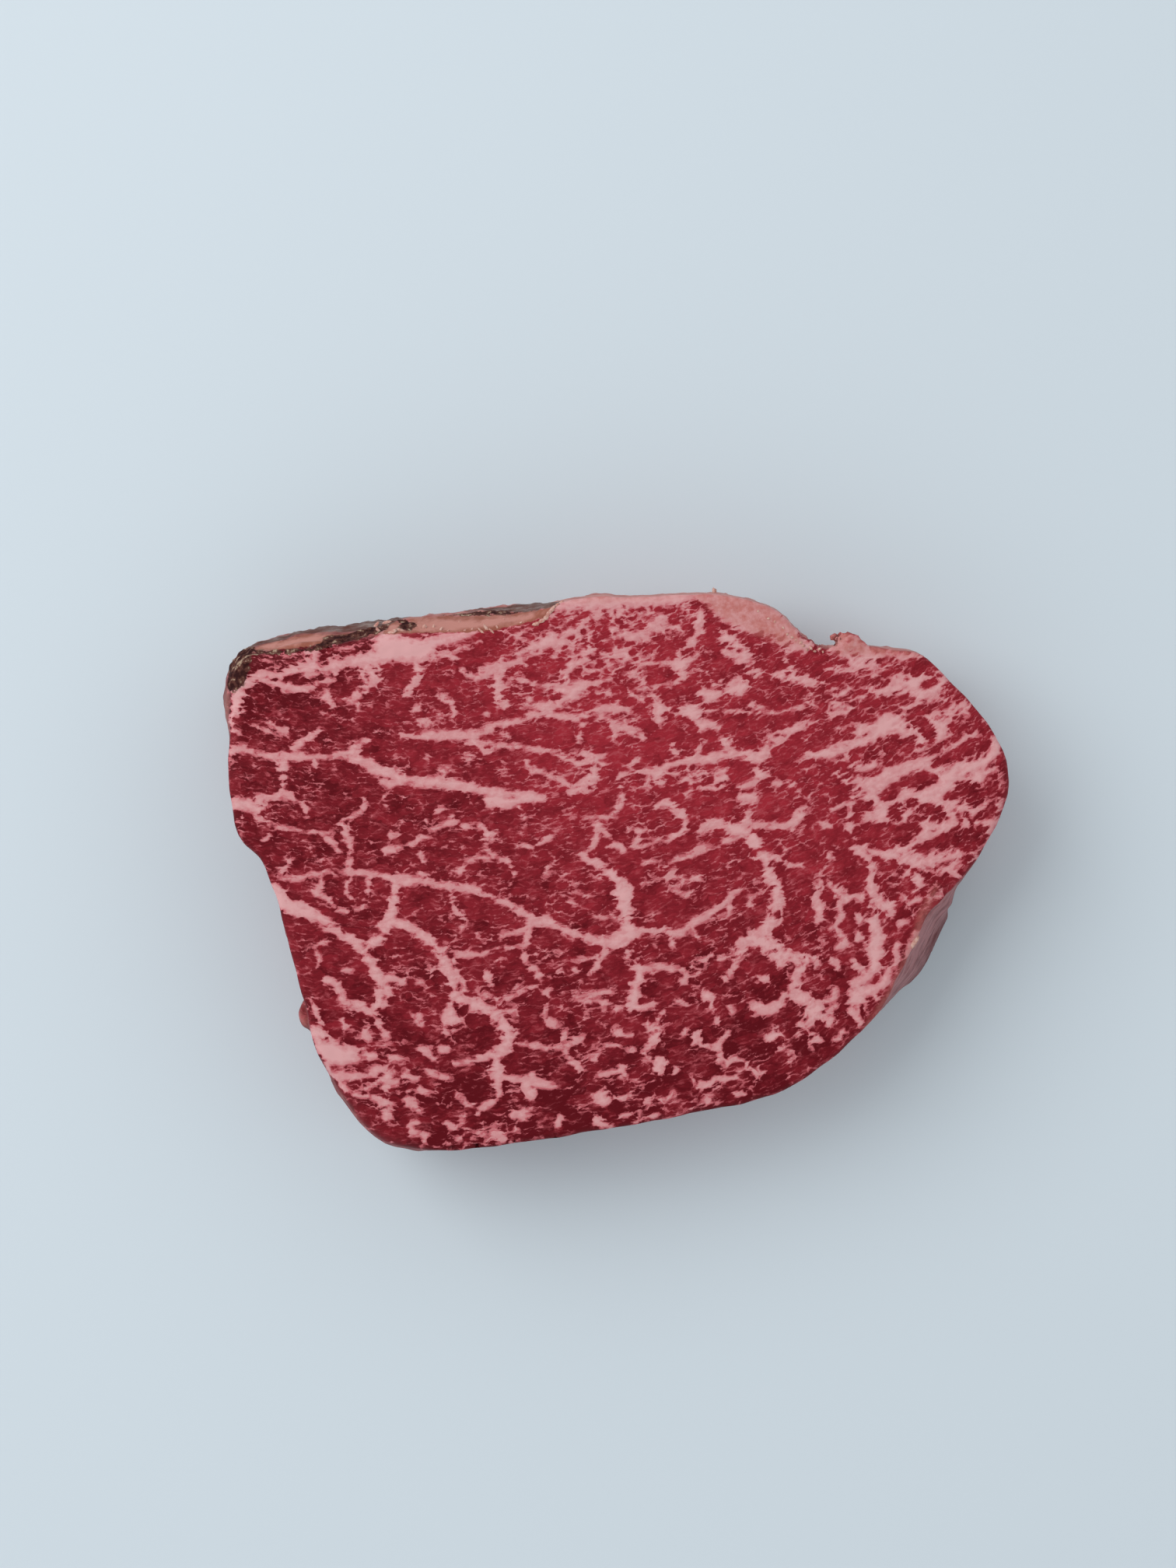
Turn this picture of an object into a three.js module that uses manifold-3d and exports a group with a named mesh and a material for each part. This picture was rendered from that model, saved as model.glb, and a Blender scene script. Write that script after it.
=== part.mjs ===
// A raw, heavily marbled beef steak: one thick cut piece that lies flat on its underside.
// Millimetres, +Z up. The origin is under the middle of the piece, on the surface it lies on,
// with +X along the piece and +Y towards its fat cap.
import * as THREE from "three";
import { mergeVertices } from "three/addons/utils/BufferGeometryUtils.js";
import Module from "manifold-3d";

// Driving dimensions of the cut piece.
const THICKNESS = 28; // underside to cut face
const SAG_BULGE = 0.9; // how far the soft wall bellies out at half height
const FOOT_ROUND = 2.4; // rounding between the wall and the underside
const FACE_WAVE = 0.35; // how far the knife-cut face rises and dips
const EDGE_RAGGED = 0.22; // how far the cut edge wanders from its smooth line

// Slow swells of the cut face: wavelengths divided by a full turn, in millimetres, along X and Y.
const LONG_SWELL = { alongX: 21, alongY: 34, phase: 0.6, share: 0.5 };
const CROSS_SWELL = { alongX: -40, alongY: 13, phase: 1.9, share: 0.3 };
const DIMPLES = { alongX: 7.5, alongY: 6.2, phaseX: 0.8, phaseY: 2.4, share: 0.35 };

// Waves in the cut edge that never line up: how many go round the rim, and where each starts.
const EDGE_WAVES = [
  { count: 23, phase: 0.4 },
  { count: 37, phase: 2.1 },
  { count: 61, phase: 4.4 },
];

// How finely the surface is divided.
const EDGE_STEPS = 200; // points round the rim
const FACE_RINGS = [0.12, 0.28, 0.44, 0.59, 0.73, 0.85, 0.94]; // shares of the way out to the rim
const WALL_STEPS = 7; // levels down the wall
const ROUND_STEPS = 3; // levels round an edge
const LEAST_ROUND = 0.4; // the sharpest that the cut edge gets
const LUMP_SIDES = 12; // sides of a small lump, with rings in proportion
const RINGS_PER_SIDE = 0.6;
const SAME_POINT = 1e-4; // points closer than this are one

// The rim of the cut face, clockwise from the west corner as seen from above, in stretches that
// share one kind of wall. flare: how far the wall leans out below the rim. flareDepth: how far
// down it does so. round: the rounding of the cut edge.
const RIM_STRETCHES = [
  {
    name: "dried corner",
    flare: 3,
    flareDepth: 10,
    round: 1.4,
    points: [
      [-73.6, 32.5],
      [-73.2, 37.3],
      [-71.4, 40.8],
    ],
  },
  {
    name: "dried bevel of the fat cap",
    flare: 5,
    flareDepth: 13,
    round: 1,
    points: [
      [-66.5, 41.5],
      [-54.5, 43.5],
      [-41, 45.2],
      [-28, 46.6],
      [-17.5, 48.2],
    ],
  },
  {
    name: "fresh edge of the fat cap",
    flare: 0.6,
    flareDepth: 10,
    round: 0.7,
    points: [
      [-11, 51.7],
      [-4.5, 52.8],
      [7.4, 53],
      [19.4, 53.4],
      [25.8, 52.4],
      [31.3, 50],
      [35, 46.8],
    ],
  },
  {
    name: "tear in the fat cap",
    flare: 0,
    flareDepth: 10,
    round: 0.6,
    points: [
      [38.8, 43.6],
      [42, 43.2],
      [46.5, 43.4],
    ],
  },
  {
    name: "thin fat to the nose",
    flare: 0.4,
    flareDepth: 10,
    round: 0.8,
    points: [
      [52, 43],
      [59, 42],
      [62.5, 38.8],
      [67.8, 33.6],
      [73, 27.1],
    ],
  },
  {
    name: "nose",
    flare: 0.6,
    flareDepth: 12,
    round: 1.2,
    points: [
      [75.8, 20.2],
      [76.1, 15.8],
      [73.9, 9.8],
      [70.2, 3.2],
      [66.2, -2.2],
    ],
  },
  {
    name: "silverskin side",
    flare: 7.8,
    flareDepth: 24,
    round: 0.9,
    points: [
      [62.2, -4],
      [59.2, -10.4],
      [56, -17],
    ],
  },
  {
    name: "end of the silverskin",
    flare: 3,
    flareDepth: 18,
    round: 0.9,
    points: [[52.8, -23.4]],
  },
  {
    name: "trimmed south edge",
    flare: 0.5,
    flareDepth: 12,
    round: 0.8,
    points: [
      [49.6, -28.6],
      [40.4, -37],
      [32, -42.4],
      [18.5, -45.8],
      [-12.5, -51.3],
      [-32, -53.6],
    ],
  },
  {
    name: "rounded south-west corner",
    flare: 1.6,
    flareDepth: 9,
    round: 2.2,
    points: [
      [-41.4, -52.6],
      [-46.8, -49.7],
      [-50.6, -45.3],
      [-53.8, -40.3],
    ],
  },
  {
    name: "trimmed west edge",
    flare: 0.4,
    flareDepth: 12,
    round: 1,
    points: [
      [-57.4, -34.4],
      [-60, -24.5],
      [-65.9, -3],
      [-68.4, 3],
      [-72, 6],
      [-74, 14],
      [-74.4, 24],
    ],
  },
];

// A torn scrap of fat that curls over the tear in the cap.
const SCRAP = { x: 45.2, y: 44.1, length: 8.4, width: 4.6, height: 3, turn: -0.42, sink: 1.2, sides: 16 };
const SCRAP_FREE_END = { lift: 0.9, narrowed: 0.55, thinned: 0.5 }; // the last two as lost shares

// A nub of meat that stands out of the west wall.
const NUB = { x: -60.2, y: -28.2, z: 19, across: 3.6, along: 6, height: 7 };

// Beads of dried crust on the west corner, from just under the rim down to a depth.
const BEADS = { count: 9, radius: 0.75, radiusSpread: 0.35, bury: 0.35, sides: 8, seed: 11 };
const BEADS_ALONG_RIM = [0.005, 0.075]; // the stretch that they cover, as shares of the rim's length
const BEADS_DOWN_WALL = [0.6, 4.6];
const BEAD_SCATTER = 0.6; // how far a bead strays, as a share of the space for each

// Flakes that stand off the dried bevel: where along the rim, how far down, how deep each is sunk.
const FLAKES = [
  { name: "hump of bared fat", share: 0.047, depth: 2.6, bury: 0.9, along: 14, out: 3, height: 3.4 },
  { name: "curled flake", share: 0.09, depth: 1.8, bury: 0.5, along: 6, out: 2.4, height: 1.8 },
  { name: "peeled lip of the cap", share: 0.158, depth: 1.4, bury: 0.5, along: 6, out: 2, height: 2 },
];

const MEAT_COLOUR = 0x8f2f38;

const wasm = await Module();
wasm.setup();

// A closed smooth curve through one value triple for each rim anchor.
function curveThrough(triples) {
  return new THREE.CatmullRomCurve3(
    triples.map((triple) => new THREE.Vector3(...triple)),
    true,
    "centripetal",
  );
}

// How far the cut edge wanders, from -1 to 1. share runs from 0 to 1 round the rim.
function wander(share) {
  const turn = 2 * Math.PI * share;
  const waves = EDGE_WAVES.map(({ count, phase }) => Math.sin(count * turn + phase));
  return waves.reduce((sum, wave) => sum + wave, 0) / waves.length;
}

// A swell of the cut face at a place, as its share of the full rise.
function swell({ alongX, alongY, phase, share }, x, y) {
  return share * Math.sin(x / alongX + y / alongY + phase);
}

// How far the cut face stands above its mean level at a place.
function faceRise(x, y) {
  const { alongX, alongY, phaseX, phaseY, share } = DIMPLES;
  const dimple = share * Math.sin(x / alongX + phaseX) * Math.sin(y / alongY + phaseY);
  return FACE_WAVE * (swell(LONG_SWELL, x, y) + swell(CROSS_SWELL, x, y) + dimple);
}

// The rim as a loop of places, each with its outward direction and its kind of wall.
function rimPlaces() {
  const anchors = RIM_STRETCHES.flatMap((stretch) =>
    stretch.points.map(([x, y]) => ({ x, y, ...stretch })),
  );
  const line = curveThrough(anchors.map(({ x, y }) => [x, y, 0]));
  const wall = curveThrough(anchors.map(({ flare, flareDepth, round }) => [flare, flareDepth, round]));
  return Array.from({ length: EDGE_STEPS }, (_, step) => {
    const share = step / EDGE_STEPS;
    const t = line.getUtoTmapping(share);
    const along = line.getTangent(t);
    const out = new THREE.Vector2(-along.y, along.x).normalize();
    const at = line.getPoint(t);
    const kind = wall.getPoint(t);
    const ragged = EDGE_RAGGED * wander(share);
    return {
      at: new THREE.Vector2(at.x, at.y).addScaledVector(out, ragged),
      out,
      flare: Math.max(0, kind.x),
      flareDepth: kind.y,
      round: Math.max(LEAST_ROUND, kind.z),
    };
  });
}

// How far a wall stands out from the rim at a depth under the cut face.
function wallReach(place, depth) {
  const lean = place.flare * THREE.MathUtils.smootherstep(depth, -place.flareDepth / 2, place.flareDepth);
  const start = place.flare * THREE.MathUtils.smootherstep(0, -place.flareDepth / 2, place.flareDepth);
  return lean - start + SAG_BULGE * Math.sin((Math.PI * depth) / THICKNESS);
}

// One ring of the surface, from a function that gives each place's reach and height.
function ringOf(places, shape) {
  return places.map((place) => {
    const { reach, z } = shape(place);
    const at = place.at.clone().addScaledVector(place.out, reach);
    return new THREE.Vector3(at.x, at.y, z);
  });
}

// The rings of the cut edge, the wall and the foot, from the cut face down to the underside.
function wallRings(places) {
  const rings = [];
  for (let step = 0; step <= ROUND_STEPS; step++) {
    const angle = (step / ROUND_STEPS) * (Math.PI / 2);
    rings.push(
      ringOf(places, (place) => {
        const depth = place.round * (1 - Math.cos(angle));
        const inset = place.round * (1 - Math.sin(angle));
        const edge = faceRise(place.at.x, place.at.y) * Math.cos(angle);
        return { reach: wallReach(place, depth) - inset, z: THICKNESS + edge - depth };
      }),
    );
  }
  for (let step = 1; step < WALL_STEPS; step++) {
    const share = step / WALL_STEPS;
    rings.push(
      ringOf(places, (place) => {
        const depth = THREE.MathUtils.lerp(place.round, THICKNESS - FOOT_ROUND, share);
        return { reach: wallReach(place, depth), z: THICKNESS - depth };
      }),
    );
  }
  for (let step = 0; step <= ROUND_STEPS; step++) {
    const angle = (step / ROUND_STEPS) * (Math.PI / 2);
    const height = FOOT_ROUND * (1 - Math.sin(angle));
    rings.push(
      ringOf(places, (place) => ({
        reach: wallReach(place, THICKNESS - height) - FOOT_ROUND * (1 - Math.cos(angle)),
        z: height,
      })),
    );
  }
  return rings;
}

// The rings of the cut face, shrunk copies of its outer ring that follow the face's rise.
function faceRings(outer) {
  const onFace = (x, y) => new THREE.Vector3(x, y, THICKNESS + faceRise(x, y));
  return FACE_RINGS.map((share) => outer.map(({ x, y }) => onFace(x * share, y * share)));
}

// A closed surface over a stack of rings, with a pole above the first and one below the last.
// Rings run clockwise as seen from above.
function loft(top, rings, bottom) {
  const points = [top, ...rings.flat(), bottom];
  const steps = rings[0].length;
  const last = points.length - 1;
  const index = [];
  const at = (ring, step) => 1 + ring * steps + (step % steps);
  for (let step = 0; step < steps; step++) {
    index.push(0, at(0, step + 1), at(0, step));
    for (let ring = 0; ring < rings.length - 1; ring++) {
      index.push(at(ring, step), at(ring, step + 1), at(ring + 1, step));
      index.push(at(ring, step + 1), at(ring + 1, step + 1), at(ring + 1, step));
    }
    index.push(last, at(rings.length - 1, step), at(rings.length - 1, step + 1));
  }
  return new THREE.BufferGeometry().setFromPoints(points).setIndex(index);
}

// The cut piece itself, without what stands out of it.
function slab(places) {
  const wall = wallRings(places);
  const rings = [...faceRings(wall[0]), ...wall];
  return loft(new THREE.Vector3(0, 0, THICKNESS + faceRise(0, 0)), rings, new THREE.Vector3(0, 0, 0));
}

// A small lump: a sphere stretched to its three sizes, turned about Z and put in its place.
function lump({ x, y, z, across, along, height, turn = 0, sides = LUMP_SIDES }) {
  return new THREE.SphereGeometry(0.5, sides, Math.round(sides * RINGS_PER_SIDE))
    .rotateX(Math.PI / 2)
    .scale(across, along, height)
    .rotateZ(turn)
    .translate(x, y, z);
}

// The torn scrap: a flat lump whose free end lifts and narrows.
function scrap() {
  const { x, y, length, width, height, turn, sink, sides } = SCRAP;
  const { lift, narrowed, thinned } = SCRAP_FREE_END;
  const shape = lump({ x: 0, y: 0, z: 0, across: length, along: width, height, sides });
  const at = shape.getAttribute("position");
  for (let i = 0; i < at.count; i++) {
    const free = THREE.MathUtils.clamp(-at.getX(i) / (length / 2), 0, 1);
    at.setY(i, at.getY(i) * (1 - narrowed * free));
    at.setZ(i, at.getZ(i) * (1 - thinned * free) + lift * free * free);
  }
  return shape.rotateZ(turn).translate(x, y, THICKNESS - sink);
}

// Repeatable draws from 0 to 1, by the minimal standard generator.
function drawer(seed) {
  const multiplier = 16807;
  const modulus = 2 ** 31 - 1;
  let state = seed;
  return () => {
    state = (state * multiplier) % modulus;
    return state / modulus;
  };
}

// A lump on the wall at a depth under the rim, sunk in by bury.
function lumpOnWall(place, depth, bury, { along, out, height, sides }) {
  const at = place.at.clone().addScaledVector(place.out, wallReach(place, depth) - bury);
  const turn = place.out.angle();
  return lump({ x: at.x, y: at.y, z: THICKNESS - depth, across: out, along, height, turn, sides });
}

// The beads of dried crust, half sunk in the wall, most of them near the rim.
function beads(places) {
  const draw = drawer(BEADS.seed);
  return Array.from({ length: BEADS.count }, (_, bead) => {
    const share = THREE.MathUtils.lerp(...BEADS_ALONG_RIM, (bead + BEAD_SCATTER * draw()) / BEADS.count);
    const place = places[Math.round(share * EDGE_STEPS)];
    const size = 2 * (BEADS.radius + BEADS.radiusSpread * (2 * draw() - 1));
    const depth = THREE.MathUtils.lerp(...BEADS_DOWN_WALL, draw() * draw());
    const shape = { along: size, out: size, height: size, sides: BEADS.sides };
    return lumpOnWall(place, depth, BEADS.bury, shape);
  });
}

// The flakes on the dried bevel.
function flakes(places) {
  return FLAKES.map(({ share, depth, bury, ...shape }) =>
    lumpOnWall(places[Math.round(share * EDGE_STEPS)], depth, bury, shape),
  );
}

// A geometry as a solid that can be joined to others.
function solidOf(geometry) {
  const bare = geometry.clone();
  bare.deleteAttribute("normal");
  bare.deleteAttribute("uv");
  const merged = mergeVertices(bare, SAME_POINT);
  return new wasm.Manifold(
    new wasm.Mesh({
      numProp: 3,
      vertProperties: new Float32Array(merged.getAttribute("position").array),
      triVerts: new Uint32Array(merged.index.array),
    }),
  );
}

// A joined solid as a geometry to draw.
function geometryOf(solid) {
  const { vertProperties, triVerts } = solid.getMesh();
  const geometry = new THREE.BufferGeometry()
    .setAttribute("position", new THREE.BufferAttribute(new Float32Array(vertProperties), 3))
    .setIndex(new THREE.BufferAttribute(new Uint32Array(triVerts), 1));
  geometry.computeVertexNormals();
  return geometry;
}

// The whole steak as one solid, with its origin under its middle.
function steak() {
  const places = rimPlaces();
  const pieces = [slab(places), scrap(), lump(NUB), ...beads(places), ...flakes(places)];
  const geometry = geometryOf(pieces.map(solidOf).reduce((whole, piece) => whole.add(piece)));
  geometry.computeBoundingBox();
  const middle = geometry.boundingBox.getCenter(new THREE.Vector3());
  geometry.translate(-middle.x, -middle.y, 0);
  const meat = new THREE.MeshStandardMaterial({ color: MEAT_COLOUR, roughness: 0.5, metalness: 0 });
  const mesh = new THREE.Mesh(geometry, meat);
  mesh.name = "steak";
  return mesh;
}

const part = new THREE.Group();
part.add(steak());

export default part;
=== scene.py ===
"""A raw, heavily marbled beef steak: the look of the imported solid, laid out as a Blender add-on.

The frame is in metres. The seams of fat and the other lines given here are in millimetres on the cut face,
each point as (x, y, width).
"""
import math
import random
from types import SimpleNamespace

import bpy
import numpy as np
from mathutils import Matrix, Vector, noise
from mathutils.bvhtree import BVHTree


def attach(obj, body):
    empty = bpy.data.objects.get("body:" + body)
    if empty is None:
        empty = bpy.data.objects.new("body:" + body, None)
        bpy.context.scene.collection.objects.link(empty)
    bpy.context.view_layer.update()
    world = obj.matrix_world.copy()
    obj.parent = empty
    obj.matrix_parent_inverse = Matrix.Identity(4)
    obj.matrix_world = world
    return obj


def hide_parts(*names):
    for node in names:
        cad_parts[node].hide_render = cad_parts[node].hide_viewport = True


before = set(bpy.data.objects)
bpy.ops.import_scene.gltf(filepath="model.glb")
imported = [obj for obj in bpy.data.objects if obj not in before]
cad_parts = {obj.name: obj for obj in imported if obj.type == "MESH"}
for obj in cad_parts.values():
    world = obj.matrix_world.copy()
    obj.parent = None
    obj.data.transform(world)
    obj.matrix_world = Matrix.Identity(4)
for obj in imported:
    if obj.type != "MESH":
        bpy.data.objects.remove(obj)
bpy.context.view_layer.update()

bl_info = {
    "name": "Raw Beef Steak",
    "version": (1, 0, 0),
    "blender": (4, 5, 0),
    "location": "View3D > Sidebar > Steak",
    "description": "Models a thick, heavily marbled raw beef steak over its plain solid",
    "category": "Object",
}

MM = 0.001
BODY = "root"
NODE = "steak"
MEAT_PIECE = "steak_meat"
CRUMB_PIECE = "steak_crumbs"

# Seams of fat on the cut face. Each runs on a smooth curve through its points.
CAP_SEAMS = (
    ((-74.5, 36, 2.5), (-72, 36.5, 2.5), (-68, 38, 2), (-64.5, 38.2, 1.6), (-61, 39.6, 2.6),
     (-57, 40.2, 2.4), (-52, 40.6, 2.2), (-48, 41.5, 3.6), (-44, 42.6, 5), (-40, 43, 5), (-37, 43.2, 4.5),
     (-33, 44.6, 3.2), (-30, 45.2, 2.5), (-27, 46, 1.5)),
    ((-59.5, 41.5, 1.6), (-57.5, 43, 1.6)),
    ((-45, 45.5, 3), (-46, 47.5, 2)),
    ((-49, 39.5, 1.5), (-48.5, 36, 1.5), (-50, 34.5, 1.2)),
    ((-38, 40, 1.8), (-38.2, 38, 1.8), (-39.5, 36, 1.8), (-40.5, 34.5, 1.4)),
    ((-54, 40, 1.2), (-54.5, 38, 1.2)),
    ((-12, 51.5, 2.4), (-6, 52, 2.6), (0, 52, 2.8), (6, 52.3, 2.8), (12, 52.6, 2.4), (16, 53.2, 1.6),
     (19, 51.6, 4), (22, 50, 6.6), (25, 49.4, 6), (28, 48.8, 5.4), (31, 47.6, 5), (34, 45.2, 4),
     (36.6, 43.8, 2)),
    ((-11, 52.6, 3), (0, 53.5, 5), (10, 54.2, 4.6), (16, 54.8, 4), (20, 54.2, 6), (25, 52.4, 6),
     (30, 49.2, 5), (34, 45.8, 3)),
    ((43, 44.5, 4), (47, 43, 4), (50, 42, 2.4), (54, 41.8, 1.6), (57, 41.8, 1), (59, 41.6, 0.6)),
    ((16.5, 50, 2.2), (16, 48, 2.4), (16.2, 46.5, 2), (15.5, 45, 1.2)),
    ((20.5, 46, 1.8), (22, 45, 2.4), (23.5, 44, 2)),
    ((-19, 42, 1.2), (-16, 43.4, 2), (-13, 44.8, 2.6), (-10, 46.4, 2), (-7, 47.9, 1.8), (-5, 49.2, 1.8),
     (-3, 50.4, 1.8)),
    ((-0.5, 47, 1.4), (3, 45.6, 1.2), (6, 47, 1.8), (8.5, 48.6, 1.8), (10, 49.5, 1.2)),
)
WEST_SEAMS = (
    ((-74.5, 22, 1.4), (-73.5, 24, 1.6), (-71, 23.6, 1.3), (-68, 22.6, 1.4), (-64, 22.5, 2),
     (-60, 22.4, 1.6), (-56, 22.4, 1), (-53, 22.8, 1.6), (-51, 23.2, 2.4), (-49.5, 21.5, 2.2),
     (-47, 20.2, 2.4), (-44, 19.2, 2.6), (-41, 18.2, 2.2)),
    ((-62, 24.3, 1.4), (-58.5, 26.5, 1.4), (-57.5, 27.4, 1.2)),
    ((-50, 24.5, 1.5), (-48, 25.3, 1.2)),
    ((-46, 18, 1.4), (-44, 17.3, 1.8), (-40, 17.6, 2), (-36, 17.2, 2.4), (-33, 17.6, 2.8), (-29, 16.8, 2.2),
     (-26, 16.2, 2), (-22, 15.4, 2.2), (-18, 15, 2), (-15, 14.8, 1.4), (-13.5, 14.2, 0.8)),
    ((-74, 13.5, 2.5), (-71, 13.2, 2.8), (-69, 12, 2.6), (-68, 10.5, 1.6)),
    ((-66, 14, 0.8), (-62, 14.2, 0.8), (-60, 13, 1.2), (-59.5, 11.5, 1)),
    ((-67.5, 9.8, 0.8), (-66.5, 8.4, 0.8), (-67.8, 6.5, 0.8)),
    ((-52.5, 9.5, 1.8), (-52, 7.5, 2.2), (-51.3, 6, 1.2), (-51, 4.5, 0.8), (-50.7, 2, 0.8)),
    ((-52.5, 10.2, 0.9), (-50, 11, 0.9), (-48.7, 12, 1), (-48.8, 14, 0.8)),
    ((-53.5, 8.2, 0.8), (-57, 7.5, 0.8), (-60, 8, 0.6), (-63, 8.4, 0.7), (-66, 8.6, 0.8)),
    ((-41, 27, 1.2), (-37, 26.6, 1.6), (-33, 26.5, 2), (-29, 26.8, 2), (-26, 27.1, 1.8), (-23, 28, 1.6),
     (-20, 29, 1.4), (-17, 30, 1.8), (-14, 31.4, 2.2), (-11.5, 33, 1.8), (-9, 34.6, 2), (-7, 35.6, 2.2)),
    ((-13, 30.6, 1.4), (-11, 30.4, 1.4), (-7, 30, 1.6), (-4, 30.6, 1.6), (-1.5, 31.4, 1.6), (1, 31.6, 1.4),
     (3, 31.2, 0.8)),
    ((-4, 29.6, 1), (-1, 29.2, 1.2), (2, 28.4, 1.2), (4, 28.2, 0.8)),
    ((-6.3, 28.5, 1.2), (-6.8, 26.5, 1.2), (-7, 25.5, 1)),
    ((-22, 27.6, 0.8), (-21, 26, 0.8), (-19.5, 25, 0.8)),
    ((-26, 25, 1), (-23, 24, 1.4), (-19, 24, 1.2), (-15, 24, 1.2), (-12, 23.3, 1.2), (-9.5, 22, 1.4),
     (-7, 21.3, 1.6), (-5, 20.6, 2), (-5.2, 19, 1.6), (-6, 17.5, 2), (-7.8, 16, 1.8), (-8.8, 15.2, 1)),
    ((-17, 21.5, 0.9), (-15.5, 20, 0.9), (-13.5, 19.2, 0.9), (-12, 18.2, 0.9), (-10.5, 17.6, 1.4),
     (-9.5, 17, 0.9)),
    ((-11, 35.5, 1.8), (-8, 35.6, 2.4), (-6, 36, 2)),
    ((-10, 37, 1.6), (-10, 38.5, 1.6), (-8, 40.2, 1.4), (-5.5, 41.5, 1.4), (-5, 43.5, 1)),
    ((-11, 36, 1.2), (-13, 36.5, 1.2), (-16, 36.5, 1.2), (-20, 37.5, 1)),
    ((-22, 40.5, 2), (-22.5, 38, 2), (-23, 35.5, 2.2), (-22.5, 33.5, 2.2), (-21.5, 32.3, 1.6),
     (-23.5, 31.4, 0.9), (-25, 30.6, 0.8)),
    ((-26, 38.8, 1.4), (-23, 39.8, 1.8), (-20, 40.2, 1), (-17, 41.5, 1), (-14.5, 42.5, 0.9)),
)
NOSE_SEAMS = (
    ((12.5, 40, 3), (10.5, 40.2, 1.5)),
    ((12.5, 40, 3), (13, 37.5, 1.6), (11, 36, 1), (9, 35.6, 1), (6, 35.6, 1), (4, 35.2, 0.8)),
    ((12.5, 40, 3), (15, 41.5, 1), (17, 44, 0.9)),
    ((12.5, 40, 3), (12, 42.5, 1.2)),
    ((16.8, 34.5, 2.4), (19.2, 34.5, 2.4)),
    ((22.6, 36.2, 2.4), (24.4, 36.2, 2.4)),
    ((14.7, 31.5, 3), (15, 31.4, 2.6)),
    ((24.8, 42, 2.4), (25.2, 42.1, 2.2)),
    ((4, 19.5, 1.2), (7, 19.4, 1.2), (10, 20.5, 1.6), (13, 21.4, 1.8), (16, 21.8, 1.8), (19, 22.2, 2.2),
     (22, 22.8, 2.2), (25, 22.8, 2.4), (27.5, 22.3, 2.6), (29, 24.2, 1.6), (31, 25.6, 2.2), (33, 27, 2),
     (36, 28.3, 1.6), (38.5, 29, 1.2)),
    ((21.5, 24.5, 2.4), (20.8, 25.6, 2)),
    ((27.5, 20, 1.6), (28, 18.5, 1.6)),
    ((3, 19.6, 1), (0.4, 18.4, 1), (0.9, 16.5, 1), (1.5, 14.5, 1.2), (0.6, 12.4, 1.2), (-1, 11, 1.2),
     (-4, 10.6, 0.9), (-7, 10.8, 0.8), (-10, 11.4, 1.2)),
    ((-3.8, 9.4, 0.8), (-2.6, 8, 1.2), (-1.2, 6.8, 0.8)),
    ((35, 21, 0.9), (37.5, 22.4, 1.8), (40.5, 22.8, 2.4), (42.5, 23.6, 2.6), (44.5, 24.6, 2.2),
     (47, 26, 2.2), (49, 27.6, 2.4), (51.5, 28.8, 2.6), (54, 29.6, 2.8), (56, 31, 2.6), (58, 33, 3),
     (60, 34.6, 3.4), (61.5, 36.4, 3), (62.5, 38, 2.4)),
    ((54, 29, 2.4), (57.5, 28.2, 2.2), (58.8, 26.6, 2), (58, 24.5, 1.4), (57.5, 23, 1)),
    ((60, 36.5, 3), (56, 37, 2.6), (53, 36, 1.8), (50.5, 35.2, 1.4)),
    ((31, 38, 2), (33, 38.3, 2.4), (36, 37, 1.8), (38, 36.6, 1.2)),
    ((46.5, 15.2, 1.6), (48, 17, 2), (50, 18.4, 1.9), (52.5, 19, 1.5), (55, 20, 1.5), (58, 21.6, 1.5),
     (61, 23.2, 1.6), (63.5, 24.3, 1.5), (66, 25.4, 1.2), (68.5, 26.4, 1), (70.5, 27.6, 1)),
    ((42.5, 19, 1.6), (44.5, 17.6, 1.8), (47, 17.6, 1.6)),
    ((46.2, 15.5, 1.4), (45.4, 13, 1.2), (45.2, 10.5, 1.3), (45.6, 8.4, 1.6), (47, 6.6, 1.6), (48, 5, 1.2),
     (50, 4, 1), (52, 3.6, 2.4), (54.5, 4.4, 2.4), (57, 5, 2), (58.3, 6.4, 1.4), (57.8, 8.2, 1)),
    ((59, 14.2, 1.4), (61.5, 16, 2), (63, 18, 2.4), (65.5, 19.6, 3), (68.5, 20.4, 3.2), (71, 21.6, 3),
     (72.6, 23.6, 2.4), (73, 25.8, 1.8)),
    ((59.5, 14, 0.9), (57, 15, 0.9), (56, 16.2, 1)),
    ((62, 14, 1.6), (64.5, 13.2, 1.6), (67, 13.6, 1.2), (69, 14, 0.8)),
    ((64, 31.5, 2.2), (66.5, 32.2, 1.6), (68, 31.5, 1.4)),
    ((62, 30, 0.9), (63.5, 28.3, 0.9), (62.3, 26.6, 0.9)),
)
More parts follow.
